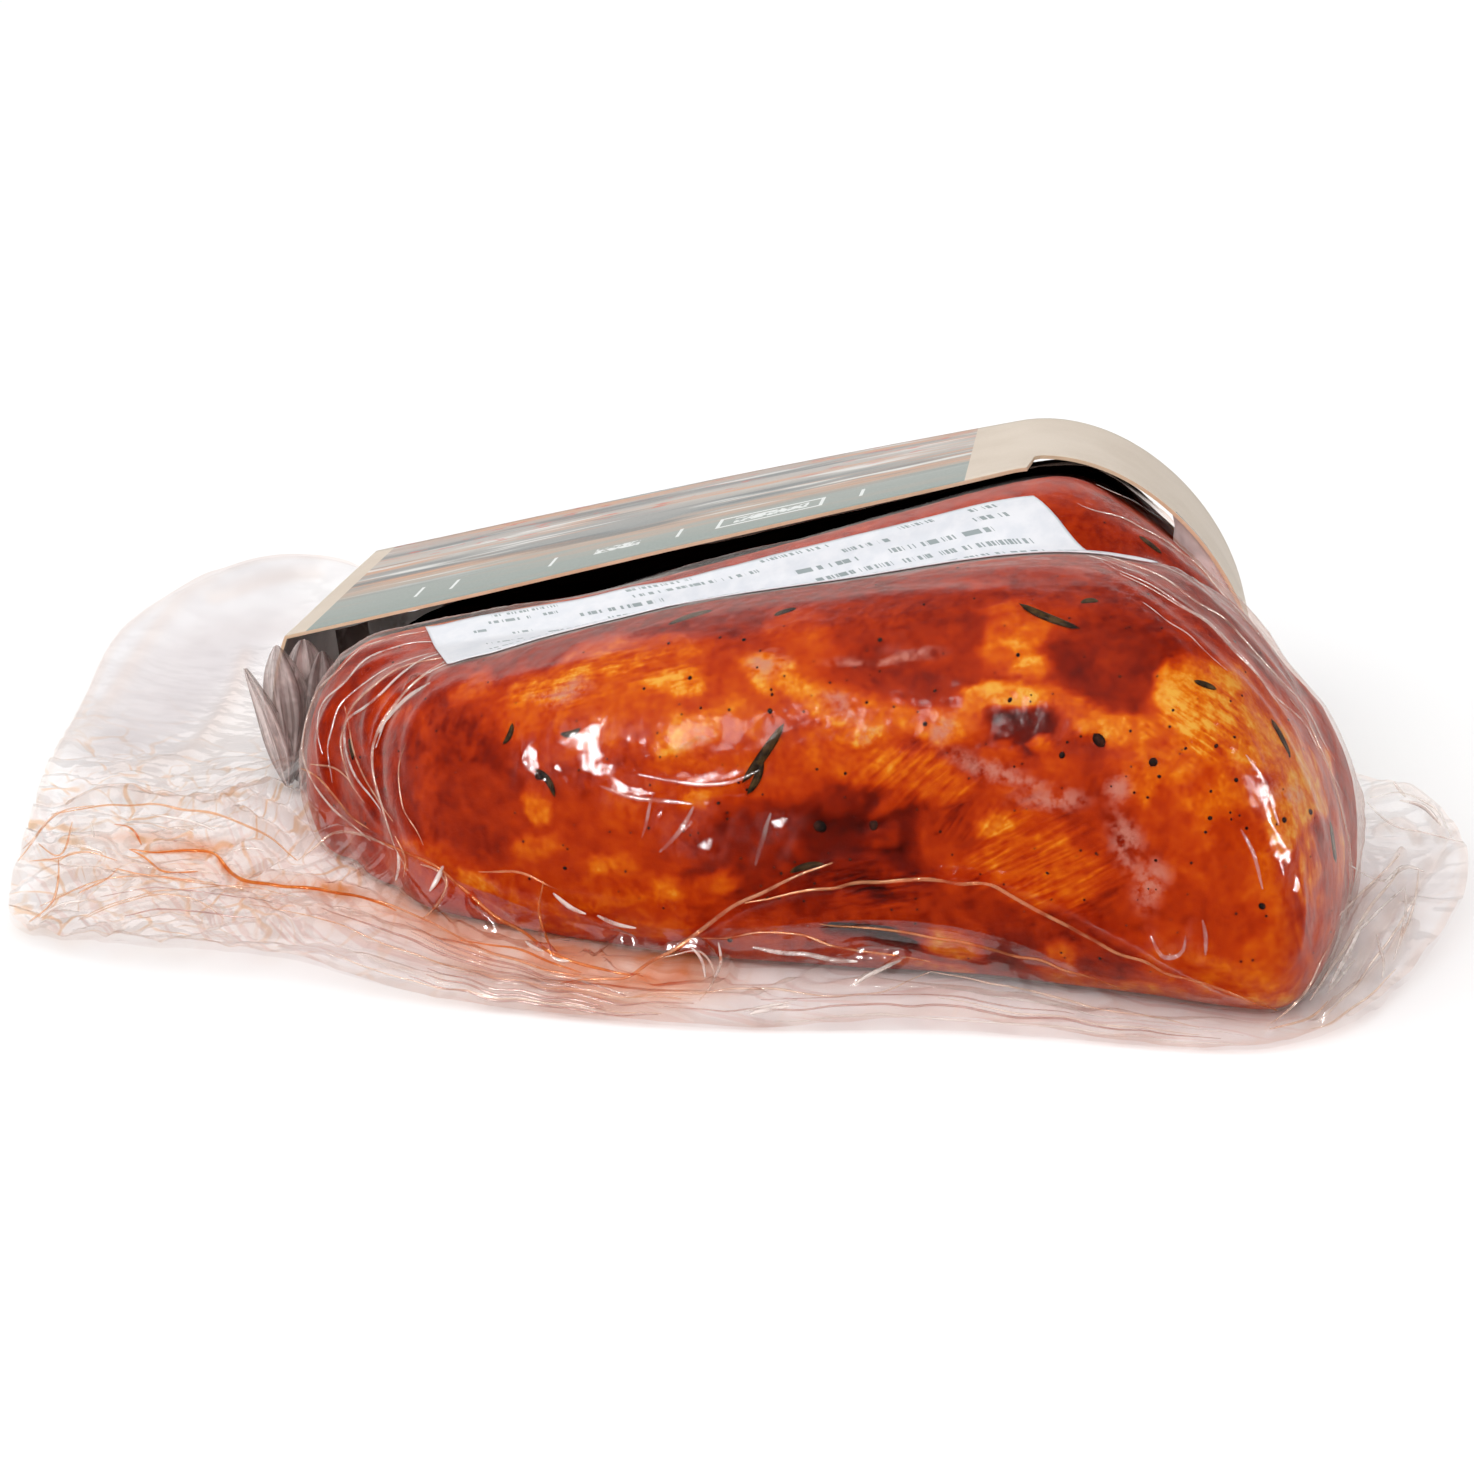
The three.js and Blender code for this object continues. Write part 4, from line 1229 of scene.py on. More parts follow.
# Creases of the margin:
MARGIN_CREASES = [
    ([(51, 816), (110, 806), (161, 806), (222, 816), (268, 835), (297, 859)], 5, 2.2),
    ([(297, 859), (329, 838), (362, 835), (400, 850)], 5, 1.6),
    ([(133, 852), (206, 852), (241, 883), (297, 885), (362, 896), (396, 912)], 3, 1.0),
    ([(215, 816), (262, 790), (300, 800), (330, 835)], 4, 1.6),
    ([(236, 800), (280, 812), (318, 846)], 4, 1.2),
    ([(20, 860), (80, 850), (140, 872), (220, 905), (300, 930)], 4, 0.9),
    ([(30, 900), (90, 880), (160, 900), (240, 930)], 4, 0.8),
    ([(300, 905), (380, 930), (480, 960), (600, 985), (760, 1000)], 4, 1.3),
    ([(280, 920), (380, 950), (500, 980), (640, 1000), (800, 1008)], 4, 1.1),
    ([(330, 950), (440, 985), (560, 1004), (700, 1018)], 4, 0.9),
    ([(640, 990), (760, 992), (880, 985), (1000, 1004), (1140, 1020), (1280, 1030)], 4, 1.2),
    ([(740, 1012), (800, 985), (850, 960)], 4, 1.2), ([(850, 960), (905, 964), (860, 985)], 3, 1.2),
    ([(1290, 1010), (1330, 960), (1370, 900), (1410, 850)], 6, 2.4),
    ([(1300, 1030), (1350, 980), (1400, 900), (1450, 850)], 6, -1.6),
    ([(1310, 1030), (1370, 985), (1420, 920)], 5, 1.8),
    ([(1340, 950), (1360, 900), (1380, 868)], 4, -1.2),
    ([(1363, 800), (1400, 790), (1430, 812), (1446, 850)], 6, 1.2),
    ([(1370, 840), (1400, 826), (1424, 850)], 5, 0.9),
    ([(60, 760), (110, 700), (180, 600), (230, 570)], 8, 0.8),
    ([(200, 600), (260, 580), (330, 570)], 8, -0.8),
    # crinkles of the amber film at the left foot
    ([(430, 862), (450, 884), (436, 912)], 3, 1.6), ([(480, 880), (470, 906), (500, 930)], 3, 1.6),
    ([(520, 900), (546, 912), (540, 944)], 3, 1.5), ([(560, 920), (600, 930), (640, 950)], 3, 1.5),
    ([(580, 950), (600, 975), (650, 985)], 3, 1.3), ([(450, 920), (500, 944), (560, 966)], 3, 1.6),
    ([(400, 870), (420, 900), (460, 935)], 3, 1.5), ([(620, 940), (600, 962), (612, 985)], 3, 1.3),
    ([(660, 950), (700, 948), (716, 972)], 3, 1.5), ([(700, 1000), (730, 980), (722, 958)], 3, 1.3),
    ([(100, 780), (180, 760), (230, 700), (250, 640)], 8, 0.9),
]


def ridges(places, seed):
    """Sharp ridges, 1 on their crests, from places in their own units."""
    return 1 - 2 * np.abs(layered_noise(places, 1, 2, seed))


def web_folds(points, round_mm, out_mm, length, edge):
    """Heights of all the folds of a margin web, how close the nearest crease is, and its blush."""
    along_depth, across_depth, crackle, stain = edge[:, 3], edge[:, 4], edge[:, 6], edge[:, 7]
    out = out_mm / length
    body = smoothstep(0.02, 0.3, out)
    plan = points[:, :2]
    drift = 5 * noise(plan, 60, 101) + 1.2 * noise(plan, 14, 102)
    long_folds = ridges(np.stack([round_mm / 70, (out_mm + drift) / 5.2], axis=1), 103)
    coarse = np.sin(2 * np.pi * (out * 2.2 + 3 * round_mm / 880) + drift * 0.2)
    cross_folds = ridges(np.stack([(round_mm + 3 * noise(plan, 25, 105)) / 9.5, out_mm / 60], axis=1), 106)
    pleats = noise(np.stack([round_mm / 4.2, out_mm / 30], axis=1), 1, 107) * np.exp(-out_mm / 9)
    warped = pushed(plan, plan, 3, 16, 108)
    border, owner = cell_borders(warped, 11, 110)
    small_border, _ = cell_borders(warped * (1, 1.3), 5.5, 120)
    cells = np.minimum(border, 4) * 0.3 + 0.1 * np.minimum(small_border, 2) + (owner - 0.5) * 0.5
    height = body * (
        0.42 * along_depth * long_folds + 0.5 * along_depth * coarse
        + 0.75 * across_depth * cross_folds * smoothstep(0, 0.5, out)
        + crackle * cells + 0.25 * layered_noise(plan, 30, 2, 130)
    ) + 0.9 * pleats
    broken = smoothstep(0.35, 0.6, 0.5 + 0.5 * layered_noise(plan, 13, 2, 131))
    closeness = body * np.clip(np.maximum.reduce([
        crackle * smoothstep(0.85, 0.2, border) * broken,
        0.6 * crackle * smoothstep(0.6, 0.1, small_border) * (1 - broken),
        0.35 * np.clip(along_depth, 0, 1) * smoothstep(0.75, 0.98, long_folds),
        0.25 * np.clip(across_depth, 0, 1) * smoothstep(0.8, 0.98, cross_folds),
    ]), 0, 1)
    blush = stain * smoothstep(0.4, 1.2, along_depth) * (0.45 + 0.55 * smoothstep(-0.3, 0.9, long_folds))
    return height, closeness, blush


# Where marinade colours the margin's film by the meat: x, y, half the width, half the height, turn.
STAIN_PATCHES = [
    (410, 870, 40, 46, -50), (480, 920, 70, 40, -30), (570, 958, 90, 30, -12), (670, 962, 56, 26, 10),
    (330, 892, 70, 8, -10), (170, 845, 60, 10, -6),
]


def stained(points):
    """How far marinade colours the web at each point, from 0 to 1."""
    at = pushed(to_picture(points), points, 6, 7, 143)
    patchy = smoothstep(-0.3, 0.5, layered_noise(points, 6, 3, 145))
    return largest_share(at, STAIN_PATCHES) * (0.3 + 0.7 * patchy)


def picture_creases(points, creases):
    at = pushed(to_picture(points), points, 2.5, 9, 141)
    return crease_heights(at, creases, 0.1, 1, np.ones(len(points)))


def margin_base(edge, round_mm, rows):
    """The web without its folds: points row by row from the meat out, and each point's measures."""
    rise = edge[:, 5]
    foot = meat_foot(edge, np.minimum(rise, 14) * 0.8)
    out = (np.linspace(0, 1, rows) ** 1.35)[:, None]
    length = np.linalg.norm(edge[:, :2] - foot, axis=1)
    out_mm = out * length
    z = lerp(2.0, edge[:, 2], out**2) + (rise - 2.0) * np.exp(-out_mm / (0.55 * rise + 1.5))
    plan = lerp(foot, edge[:, :2], out[:, :, None])
    points = np.concatenate([plan, z[:, :, None]], axis=2).reshape(-1, 3)
    return points, np.tile(round_mm, rows), out_mm.ravel(), np.tile(length, rows), np.tile(edge, (rows, 1))


def make_top_web():
    edge, round_mm = margin_edge(WEB_STEPS)
    points, around, out_mm, length, measures = margin_base(edge, round_mm, WEB_ROWS)
    height, closeness, blush = web_folds(points, around, out_mm, length, measures)
    named, named_close = picture_creases(points, MARGIN_CREASES)
    points[:, 2] += (height + named) * smoothstep(0.0, 3.0, out_mm)
    points[:, 2] = np.maximum(points[:, 2], WEB_FOOT + 0.2 * noise(points[:, :2], 9, 150))
    orange_line, _ = picture_creases(points, [ORANGE_LINE])
    front = smoothstep(0.15, 0.5, measures[:, 3] / 1.7)
    rim = smoothstep(2.2, 0.6, length - out_mm)
    by_the_meat = measures[:, 7] * np.exp(-out_mm / 12) * closeness
    values = {
        "fold_round": around / 45,
        "fold_out": (out_mm + 4 * noise(points[:, :2], 40, 146)) / 1.5,
        "dull": smoothstep(-104, -116, points[:, 0]) * smoothstep(-30, -8, points[:, 1]),
        "crease": np.clip(np.maximum.reduce([closeness, 0.7 * named_close, 0.7 * rim]), 0, 1),
        "blush": np.clip(np.maximum(blush, 0.8 * front), 0, 1),
        "crackle": np.clip(measures[:, 6] * smoothstep(0.5, 4, out_mm), 0, 1),
        "stain": np.clip(np.maximum.reduce([0.7 * by_the_meat, orange_line, 0.95 * stained(points)]), 0, 1),
    }
    faces = grid_faces(WEB_ROWS, WEB_STEPS, closed=True)
    return add_mesh("film_top_web", points, faces, margin_material(), values)


BOTTOM_STEPS = 500
BOTTOM_ROWS = 40


def make_bottom_web():
    edge, round_mm = margin_edge(BOTTOM_STEPS)
    share = (np.linspace(0.0, 1, BOTTOM_ROWS) ** 0.8)[1:, None]
    out = np.clip((share - 0.5) / 0.5, 0, 1)  # nothing is folded in the inner half
    plan = lerp(MARGIN_CENTRE, edge[:, :2], share[:, :, None])
    z = 0.12 + (edge[:, 2] - 0.6) * out**2
    points = np.concatenate([plan, z[:, :, None]], axis=2).reshape(-1, 3)
    rows = BOTTOM_ROWS - 1
    length = np.hypot(*(edge[:, :2] - MARGIN_CENTRE).T) * 0.5
    out_mm = (out * length).ravel()
    measures = np.tile(edge, (rows, 1))
    height = web_folds(points, np.tile(round_mm, rows), out_mm, np.tile(length, rows), measures)[0]
    flat_out = np.repeat(out, BOTTOM_STEPS)
    points[:, 2] = np.maximum(points[:, 2] + 0.45 * height * flat_out, UNDER_FOOT)
    faces = grid_faces(rows, BOTTOM_STEPS, closed=True).tolist()
    faces += [[len(points), k, (k + 1) % BOTTOM_STEPS] for k in range(BOTTOM_STEPS)]
    points = np.vstack([points, [*MARGIN_CENTRE, UNDER_FOOT]])
    return add_mesh("film_bottom_web", points, faces, under_film_material())


# ---- Crisp folds of the film ----

# Folds that show as thin lines in the picture: the line, half the fold's width in millimetres, and
# how far marinade has coloured it and how milky it is, both from 0 to 1.
FOLDS = [
    # short creases that catch the light
    ([(652, 796), (646, 820), (640, 836)], 0.4, 0, 0.08),
    ([(692, 806), (680, 832), (660, 852)], 0.6, 0, 0.08),
    ([(770, 812), (764, 838), (756, 866)], 0.6, 0, 0.08),
    ([(636, 776), (680, 784), (730, 780), (760, 768)], 0.5, 0, 0.08),
    ([(600, 788), (640, 800), (690, 804)], 0.6, 0, 0.08),
    ([(1240, 830), (1256, 862), (1264, 888)], 0.4, 0, 0.08),
    ([(1150, 936), (1162, 956), (1184, 952), (1188, 934)], 0.5, 0, 0.08),
    ([(1204, 918), (1208, 936), (1204, 956)], 0.5, 0, 0.08),
    ([(1246, 756), (1268, 790), (1278, 826)], 0.5, 0, 0.08),
    # white glints at the foot and on the front margin: painted highlights, as milky white folds
    ([(399, 852), (402, 866), (398, 880)], 0.5, 0, 0.7),
    ([(445, 868), (438, 880), (430, 892)], 0.7, 0, 0.7),
    ([(555, 893), (570, 905), (588, 914)], 0.6, 0, 0.7),
    ([(599, 917), (616, 923), (636, 926)], 0.6, 0, 0.7),
    ([(526, 942), (534, 948), (544, 950)], 0.5, 0, 0.7),
    ([(552, 956), (560, 962), (572, 962)], 0.5, 0, 0.7),
    ([(719, 942), (722, 962), (712, 982)], 0.4, 0, 0.5),
    ([(752, 950), (800, 956), (860, 964)], 0.7, 0, 0.45),
    ([(854, 986), (876, 972), (900, 962)], 0.5, 0, 0.45),
    ([(752, 1016), (768, 1010), (790, 1006)], 0.7, 0, 0.45),
    ([(690, 946), (704, 958), (706, 976)], 0.4, 0, 0.5),
    ([(1330, 986), (1350, 952), (1362, 930)], 0.6, 0, 0.7),
    ([(1384, 880), (1404, 866), (1424, 872)], 0.6, 0, 0.7),
    ([(1400, 800), (1424, 806), (1440, 826)], 0.6, 0, 0.7),
    ([(150, 816), (190, 822), (216, 830)], 0.5, 0, 0.7),
    ([(232, 850), (246, 846), (262, 852)], 0.4, 0, 0.7),
    ([(60, 850), (84, 846), (104, 852)], 0.5, 0, 0.7), ([(40, 918), (60, 904), (88, 900)], 0.6, 0, 0.7),
    # round the left end
    ([(439, 640), (395, 647), (363, 662), (341, 684), (321, 707), (318, 733),
      (324, 755)], 0.35, 0, 0.4),
    ([(456, 647), (417, 662), (389, 684), (365, 707), (346, 718), (343, 733), (352, 766),
      (380, 809)], 0.4, 0, 0.4),
    ([(432, 681), (408, 694), (389, 712), (378, 733)], 0.5, 0, 0.4),
    ([(302, 768), (321, 777), (339, 799), (352, 818), (371, 831)], 0.35, 0.7, 0.3),
    ([(313, 764), (339, 768), (352, 779)], 0.3, 0.5, 0.3),
    ([(395, 838), (408, 857), (406, 876)], 0.4, 0.6, 0.3),
    ([(423, 864), (441, 872), (446, 886)], 0.4, 0.4, 0.3),
    ([(508, 640), (440, 664), (400, 694), (378, 728), (373, 760), (380, 800), (392, 840),
      (410, 870)], 0.4, 0.2, 0.3),
    ([(480, 651), (420, 676), (388, 712), (376, 748)], 0.3, 0, 0.4),
    ([(427, 684), (400, 702), (384, 722)], 0.55, 0, 0.4),
    ([(459, 653), (401, 668), (363, 695), (344, 722), (340, 745), (352, 780),
      (366, 806)], 0.4, 0.3, 0.3),
    ([(440, 650), (380, 672), (340, 706), (328, 744), (334, 780)], 0.3, 0, 0.4),
    ([(436, 626), (382, 641), (345, 662), (318, 690), (305, 730), (306, 760), (322, 796), (348, 822),
      (372, 842)], 0.4, 0.1, 0.3),
    ([(346, 706), (352, 744), (374, 792), (392, 822)], 0.3, 0.5, 0.3),
    ([(408, 742), (398, 770), (404, 810), (424, 846)], 0.25, 0.5, 0.3),
    # in front of the label and over the right shoulder
    ([(445, 660), (560, 624), (700, 592), (860, 570), (1000, 555), (1082, 554),
      (1150, 577)], 0.35, 0, 0.25),
    ([(1122, 573), (1190, 612), (1250, 668), (1310, 736), (1342, 796)], 0.3, 0.1, 0.25),
    ([(1080, 548), (1150, 572), (1222, 620), (1290, 690), (1334, 760)], 0.35, 0.1, 0.25),
    ([(1100, 560), (1170, 596), (1236, 650), (1290, 716)], 0.25, 0, 0.25),
    ([(1075, 504), (1140, 524), (1200, 570), (1262, 638)], 0.3, 0.1, 0.25),
    ([(1095, 482), (1150, 510), (1210, 564), (1270, 634)], 0.25, 0, 0.25),
    ([(1140, 600), (1186, 632), (1226, 672)], 0.2, 0.1, 0.25),
    ([(1290, 700), (1326, 760), (1344, 830)], 0.3, 0.2, 0.25),
    # the taut folds above the foot
    ([(560, 985), (630, 975), (680, 945), (729, 911), (779, 885), (832, 862)], 0.5, 0.7, 0.3),
    ([(746, 905), (800, 892), (845, 884), (900, 878), (950, 880), (995, 888), (1044, 914),
      (1100, 944), (1180, 976), (1276, 1010)], 0.5, 0.8, 0.3),
    ([(820, 925), (900, 930), (980, 945), (1060, 968), (1130, 990)], 0.35, 0.8, 0.3),
    ([(700, 940), (780, 934), (850, 950), (930, 962)], 0.3, 0.7, 0.3),
    # the tucks at the left foot
    ([(378, 842), (430, 862), (480, 905), (520, 930), (570, 962), (640, 975)], 0.45, 0.9, 0.3),
    ([(442, 868), (448, 885), (436, 905), (420, 920)], 0.4, 0.5, 0.3),
    ([(480, 872), (520, 872), (560, 890)], 0.35, 0.8, 0.3),
    ([(545, 880), (540, 915), (552, 950)], 0.35, 0.9, 0.3),
    ([(460, 940), (520, 950), (580, 975)], 0.3, 0.9, 0.3),
    ([(655, 960), (700, 950), (716, 975), (700, 1000)], 0.3, 0.1, 0.3),
    # along the front margin
    ([(297, 885), (362, 896), (420, 918), (500, 955), (600, 985)], 0.3, 0.6, 0.25),
    ([(250, 905), (340, 925), (440, 962), (560, 990), (680, 1000)], 0.25, 0.35, 0.25),
    ([(330, 955), (430, 985), (540, 1003), (660, 1015)], 0.22, 0.2, 0.25),
    ([(580, 999), (680, 994), (766, 989), (819, 996), (879, 994), (932, 972)], 0.3, 0.2, 0.25),
    ([(849, 987), (905, 958)], 0.45, 0, 0.25), ([(746, 1012), (799, 1000)], 0.4, 0, 0.25),
    ([(932, 972), (1000, 985), (1100, 1008), (1200, 1028)], 0.25, 0.2, 0.25),
    ([(940, 1000), (1060, 1018), (1200, 1036)], 0.22, 0.1, 0.25),
    # over the left wing
    ([(51, 816), (110, 806), (161, 806), (222, 816), (268, 835), (297, 859)], 0.35, 0.5, 0.25),
    ([(297, 859), (329, 836), (362, 836), (395, 850)], 0.35, 0.2, 0.25),
    ([(133, 852), (206, 852), (222, 864), (241, 883), (297, 885), (362, 896),
      (396, 912)], 0.45, 1, 0.25),
    ([(40, 905), (100, 880), (160, 878), (240, 890)], 0.3, 0.4, 0.25),
    # the stained net at the left
    ([(11, 869), (34, 839), (60, 813), (92, 807)], 0.3, 0.4, 0.3),
    ([(14, 855), (39, 832), (57, 813)], 0.25, 0.3, 0.3),
    ([(39, 843), (57, 859), (69, 843), (73, 823)], 0.3, 0.5, 0.3),
    ([(30, 859), (57, 859), (92, 852), (119, 862)], 0.3, 0.5, 0.3),
    ([(57, 859), (60, 878), (53, 901), (30, 921)], 0.3, 0.5, 0.3),
    ([(80, 892), (108, 878), (119, 869)], 0.3, 0.5, 0.3),
    ([(115, 869), (138, 875), (170, 878), (202, 882)], 0.3, 0.6, 0.3),
    ([(131, 852), (149, 859), (161, 872), (197, 872)], 0.35, 0.9, 0.3),
    ([(115, 825), (133, 830), (142, 846)], 0.35, 0.9, 0.3),
    ([(80, 919), (115, 903), (161, 892), (207, 887), (253, 889), (298, 896)], 0.25, 0.3, 0.3),
    ([(83, 919), (129, 901), (184, 896), (225, 917)], 0.25, 0.3, 0.3),
    # painted highlights: two milky white folds stand in for glints in the net
    ([(152, 834), (179, 830), (197, 834)], 0.4, 0, 0.6), ([(92, 823), (96, 836)], 0.4, 0, 0.6),
    # the right margin
    ([(1340, 913), (1370, 883), (1401, 855)], 0.35, 0.1, 0.4),
    ([(1351, 961), (1355, 938), (1382, 909), (1404, 886)], 0.35, 0, 0.5),
    ([(1404, 888), (1406, 919), (1393, 961)], 0.35, 0, 0.5),
    ([(1418, 871), (1414, 909), (1399, 947)], 0.3, 0.1, 0.4),
    # painted highlight: a milky white fold stands in for a glint
    ([(1378, 934), (1385, 964), (1382, 978)], 0.4, 0, 0.6),
    ([(1328, 991), (1349, 968), (1355, 961)], 0.35, 0, 0.5),
    ([(1334, 930), (1317, 972), (1298, 1002), (1271, 1023)], 0.35, 0.2, 0.3),
    ([(1366, 801), (1391, 824), (1423, 833), (1463, 843)], 0.3, 0, 0.4),
    # painted highlight: a milky white fold stands in for a glint
    ([(1393, 784), (1406, 797)], 0.4, 0, 0.6),
    ([(1271, 1029), (1307, 1020), (1328, 999)], 0.3, 0.3, 0.3),
    ([(1310, 1000), (1345, 950), (1372, 905), (1400, 868)], 0.45, 0.1, 0.25),
    ([(1318, 1020), (1360, 980), (1398, 930), (1420, 890)], 0.35, 0.1, 0.25),
    ([(1350, 862), (1380, 880), (1405, 868)], 0.3, 0, 0.25),
    ([(1368, 797), (1400, 792), (1434, 808), (1450, 838)], 0.25, 0, 0.25),
    ([(1310, 1030), (1350, 1012), (1395, 970)], 0.25, 0.2, 0.25),
]
FOLD_STEP = 5  # pixels between a fold's rings
FOLD_SIDES = 6
FEWEST_RINGS = 6


def fold_tube(points, normals, half_width):
    """A slim flattened tube along a line that lies on a surface, pointed at both ends."""
    sideways = np.cross(np.gradient(points, axis=0), normals)
    sideways /= np.maximum(np.linalg.norm(sideways, axis=1, keepdims=True), 1e-9)
    width = 0.75 * half_width * np.sin(np.pi * np.linspace(0.04, 0.96, len(points))) ** 0.5
    rings = []
    for turn in np.linspace(0, 2 * np.pi, FOLD_SIDES, endpoint=False):
        rings.append(points + width[:, None] * (math.cos(turn) * sideways + 0.6 * math.sin(turn) * normals))
    tube = np.stack(rings, axis=1).reshape(-1, 3)
    tube[:, 2] = np.maximum(tube[:, 2], FILM_FOOT)
    return tube


def traced(tree, line):
    """Where a bent line of the picture falls on a surface: points and normals, evened out."""
    curve = rounded_line(line)
    curve = pushed(curve, curve, 3.0, 26, 180)
    passed = passed_along(curve)
    wanted = np.linspace(0, passed[-1], max(int(passed[-1] / FOLD_STEP), FEWEST_RINGS))
    spots = [meat_spot(tree, *(np.interp(at, passed, column) for column in curve.T)) for at in wanted]
    spots = [(place, normal) for place, normal in spots if place is not None]
    if len(spots) < FEWEST_RINGS:
        return None, None
    places = np.array([place for place, _ in spots])
    normals = np.array([normal if normal @ (EYE - place) > 0 else -normal for place, normal in spots])
    for column in (places, normals):
        for _ in range(3):
            column[1:-1] = (column[:-2] + 2 * column[1:-1] + column[2:]) / 4
    return places, normals / np.linalg.norm(normals, axis=1, keepdims=True)


# The fine folds of the front margin run between an upper and a lower line of the picture.
FINE_FOLDS = [
    ([(300, 884), (390, 908), (450, 938), (520, 962), (600, 988), (690, 990), (770, 985)],
     [(290, 936), (380, 966), (450, 990), (530, 1005), (620, 1016), (720, 1014), (820, 1004)], 11),
    ([(700, 990), (800, 992), (900, 986), (1000, 996), (1100, 1014), (1200, 1030), (1290, 1036)],
     [(640, 1018), (760, 1020), (900, 1016), (1000, 1024), (1100, 1032), (1200, 1044), (1290, 1042)], 4),
    ([(60, 880), (120, 866), (180, 868), (250, 880), (320, 890)],
     [(110, 920), (160, 912), (220, 914), (280, 924), (340, 934)], 3),
]


def fine_folds():
    """Mauve and clear lines in turn, each a part of the way between the two lines that bound them."""
    random = np.random.default_rng(SEED + 2)
    lines = []
    for upper, lower, count in FINE_FOLDS:
        upper, lower = np.array(upper, float), np.array(lower, float)
        for k, share in enumerate(np.linspace(0, 1, count)):
            line = rounded_line(lerp(upper, lower, share + random.uniform(-0.05, 0.05)))
            first = random.integers(0, len(line) // 3)
            last = len(line) - random.integers(0, len(line) // 3)
            lines.append((line[first:last:6], random.uniform(0.18, 0.32), k % 3 > 0))
    return lines


def make_folds(tree):
    """The folds as slim tubes."""
    tubes, shades = [], []
    drawn = [(*fold, 0) for fold in FOLDS]
    drawn += [(line, half_width, 0, 0.1, 0.7 * mauve) for line, half_width, mauve in fine_folds()]
    for line, half_width, *shade in drawn:
        places, normals = traced(tree, line)
        if places is not None:
            tube = fold_tube(places + 0.3 * half_width * normals, normals, half_width)
            tubes.append((tube, grid_faces(len(places), FOLD_SIDES, closed=True)))
            shades += [shade] * len(tube)
    values = dict(zip(("amber", "milk", "mauve"), np.array(shades).T))
    return add_mesh("film_folds", *joined(tubes), fold_material(), values)


# Cloudy leaves of folded film beside the card's left flap: foot and tip in the picture, half the
# width in pixels, how far in front of the others in millimetres, how blunt the tip is and how pale
# the leaf is, both from 0 to 1.
LEAVES = [
    ((288, 790), (244, 666), 14, 6.0, 0.0, 0.85), ((288, 788), (276, 642), 22, 4.8, 0.35, 0.75),
    ((290, 788), (304, 636), 26, 3.2, 0.5, 0.6), ((300, 790), (322, 648), 24, 4.0, 0.4, 0.3),
    ((300, 790), (292, 660), 30, 1.5, 0.5, 0.0),
]
LEAF_PLANE = -6  # the leaves' place along Y


LEAF_ROWS = 22
LEAF_COLUMNS = 17


def make_leaves():
    leaves, shades = [], []
    for seat, ((foot_x, foot_y), (tip_x, tip_y), half_width, forward, blunt, pale) in enumerate(LEAVES):
        points = []
        for row in np.linspace(0.03, 0.98, LEAF_ROWS):
            width = half_width * math.sin(math.pi * row ** (1 + 0.9 * blunt)) ** (0.9 - 0.45 * blunt)
            for column in np.linspace(-1, 1, LEAF_COLUMNS):
                wave = 1.5 * math.sin(7 * row + 3 * seat) * column
                x = lerp(foot_x, tip_x, row) + width * column + 7 * math.sin(math.pi * row) + wave
                y = lerp(foot_y, tip_y, row) + 4 * blunt * abs(column) * row
                ray = np.array(picture_ray(x, y))
                depth = LEAF_PLANE - forward - 1.4 * (1 - abs(column)) + 0.9 * math.sin(3 * row + 8 * column)
                points.append(EYE + ray * (depth - EYE[1]) / ray[1])
                rim = max(0, abs(column) - 0.7) * 2.4 * min(1, 3 * row)
                # painted shade: each leaf grows darker towards its right side and towards its foot
                paleness = pale - 0.22 * column + 0.4 * (row - 0.6)
                shades.append((rim, paleness, row * 1.5 + seat * 5, column * 4.5))
        leaves.append((np.array(points), grid_faces(LEAF_ROWS, LEAF_COLUMNS)))
    points, faces = joined(leaves)
    points[:, 2] = np.maximum(points[:, 2], LEAF_FOOT)
    film = cloudy_material("film_leaf", srgb(104, 94, 92), srgb(234, 214, 210), 0.5, 0.85)
    values = dict(zip(("rim", "pale", "vein_along", "vein_across"), np.array(shades).T))
    return add_mesh("film_leaves", points, faces, film, values)


CURTAIN_ROWS = 8
ARCH_FROM = 86  # where the pale film in the shoulder begins along X
ARCH_FULL = 92  # and where it hangs down furthest
# the dark film in the left end is painted shade: a dark sheet set in the wrap's shaded hollow
DARK_FROM, DARK_TO = -81, -52  # the dark film in the left end, along X
DARK_ROWS = 6
DARK_COLUMNS = 8


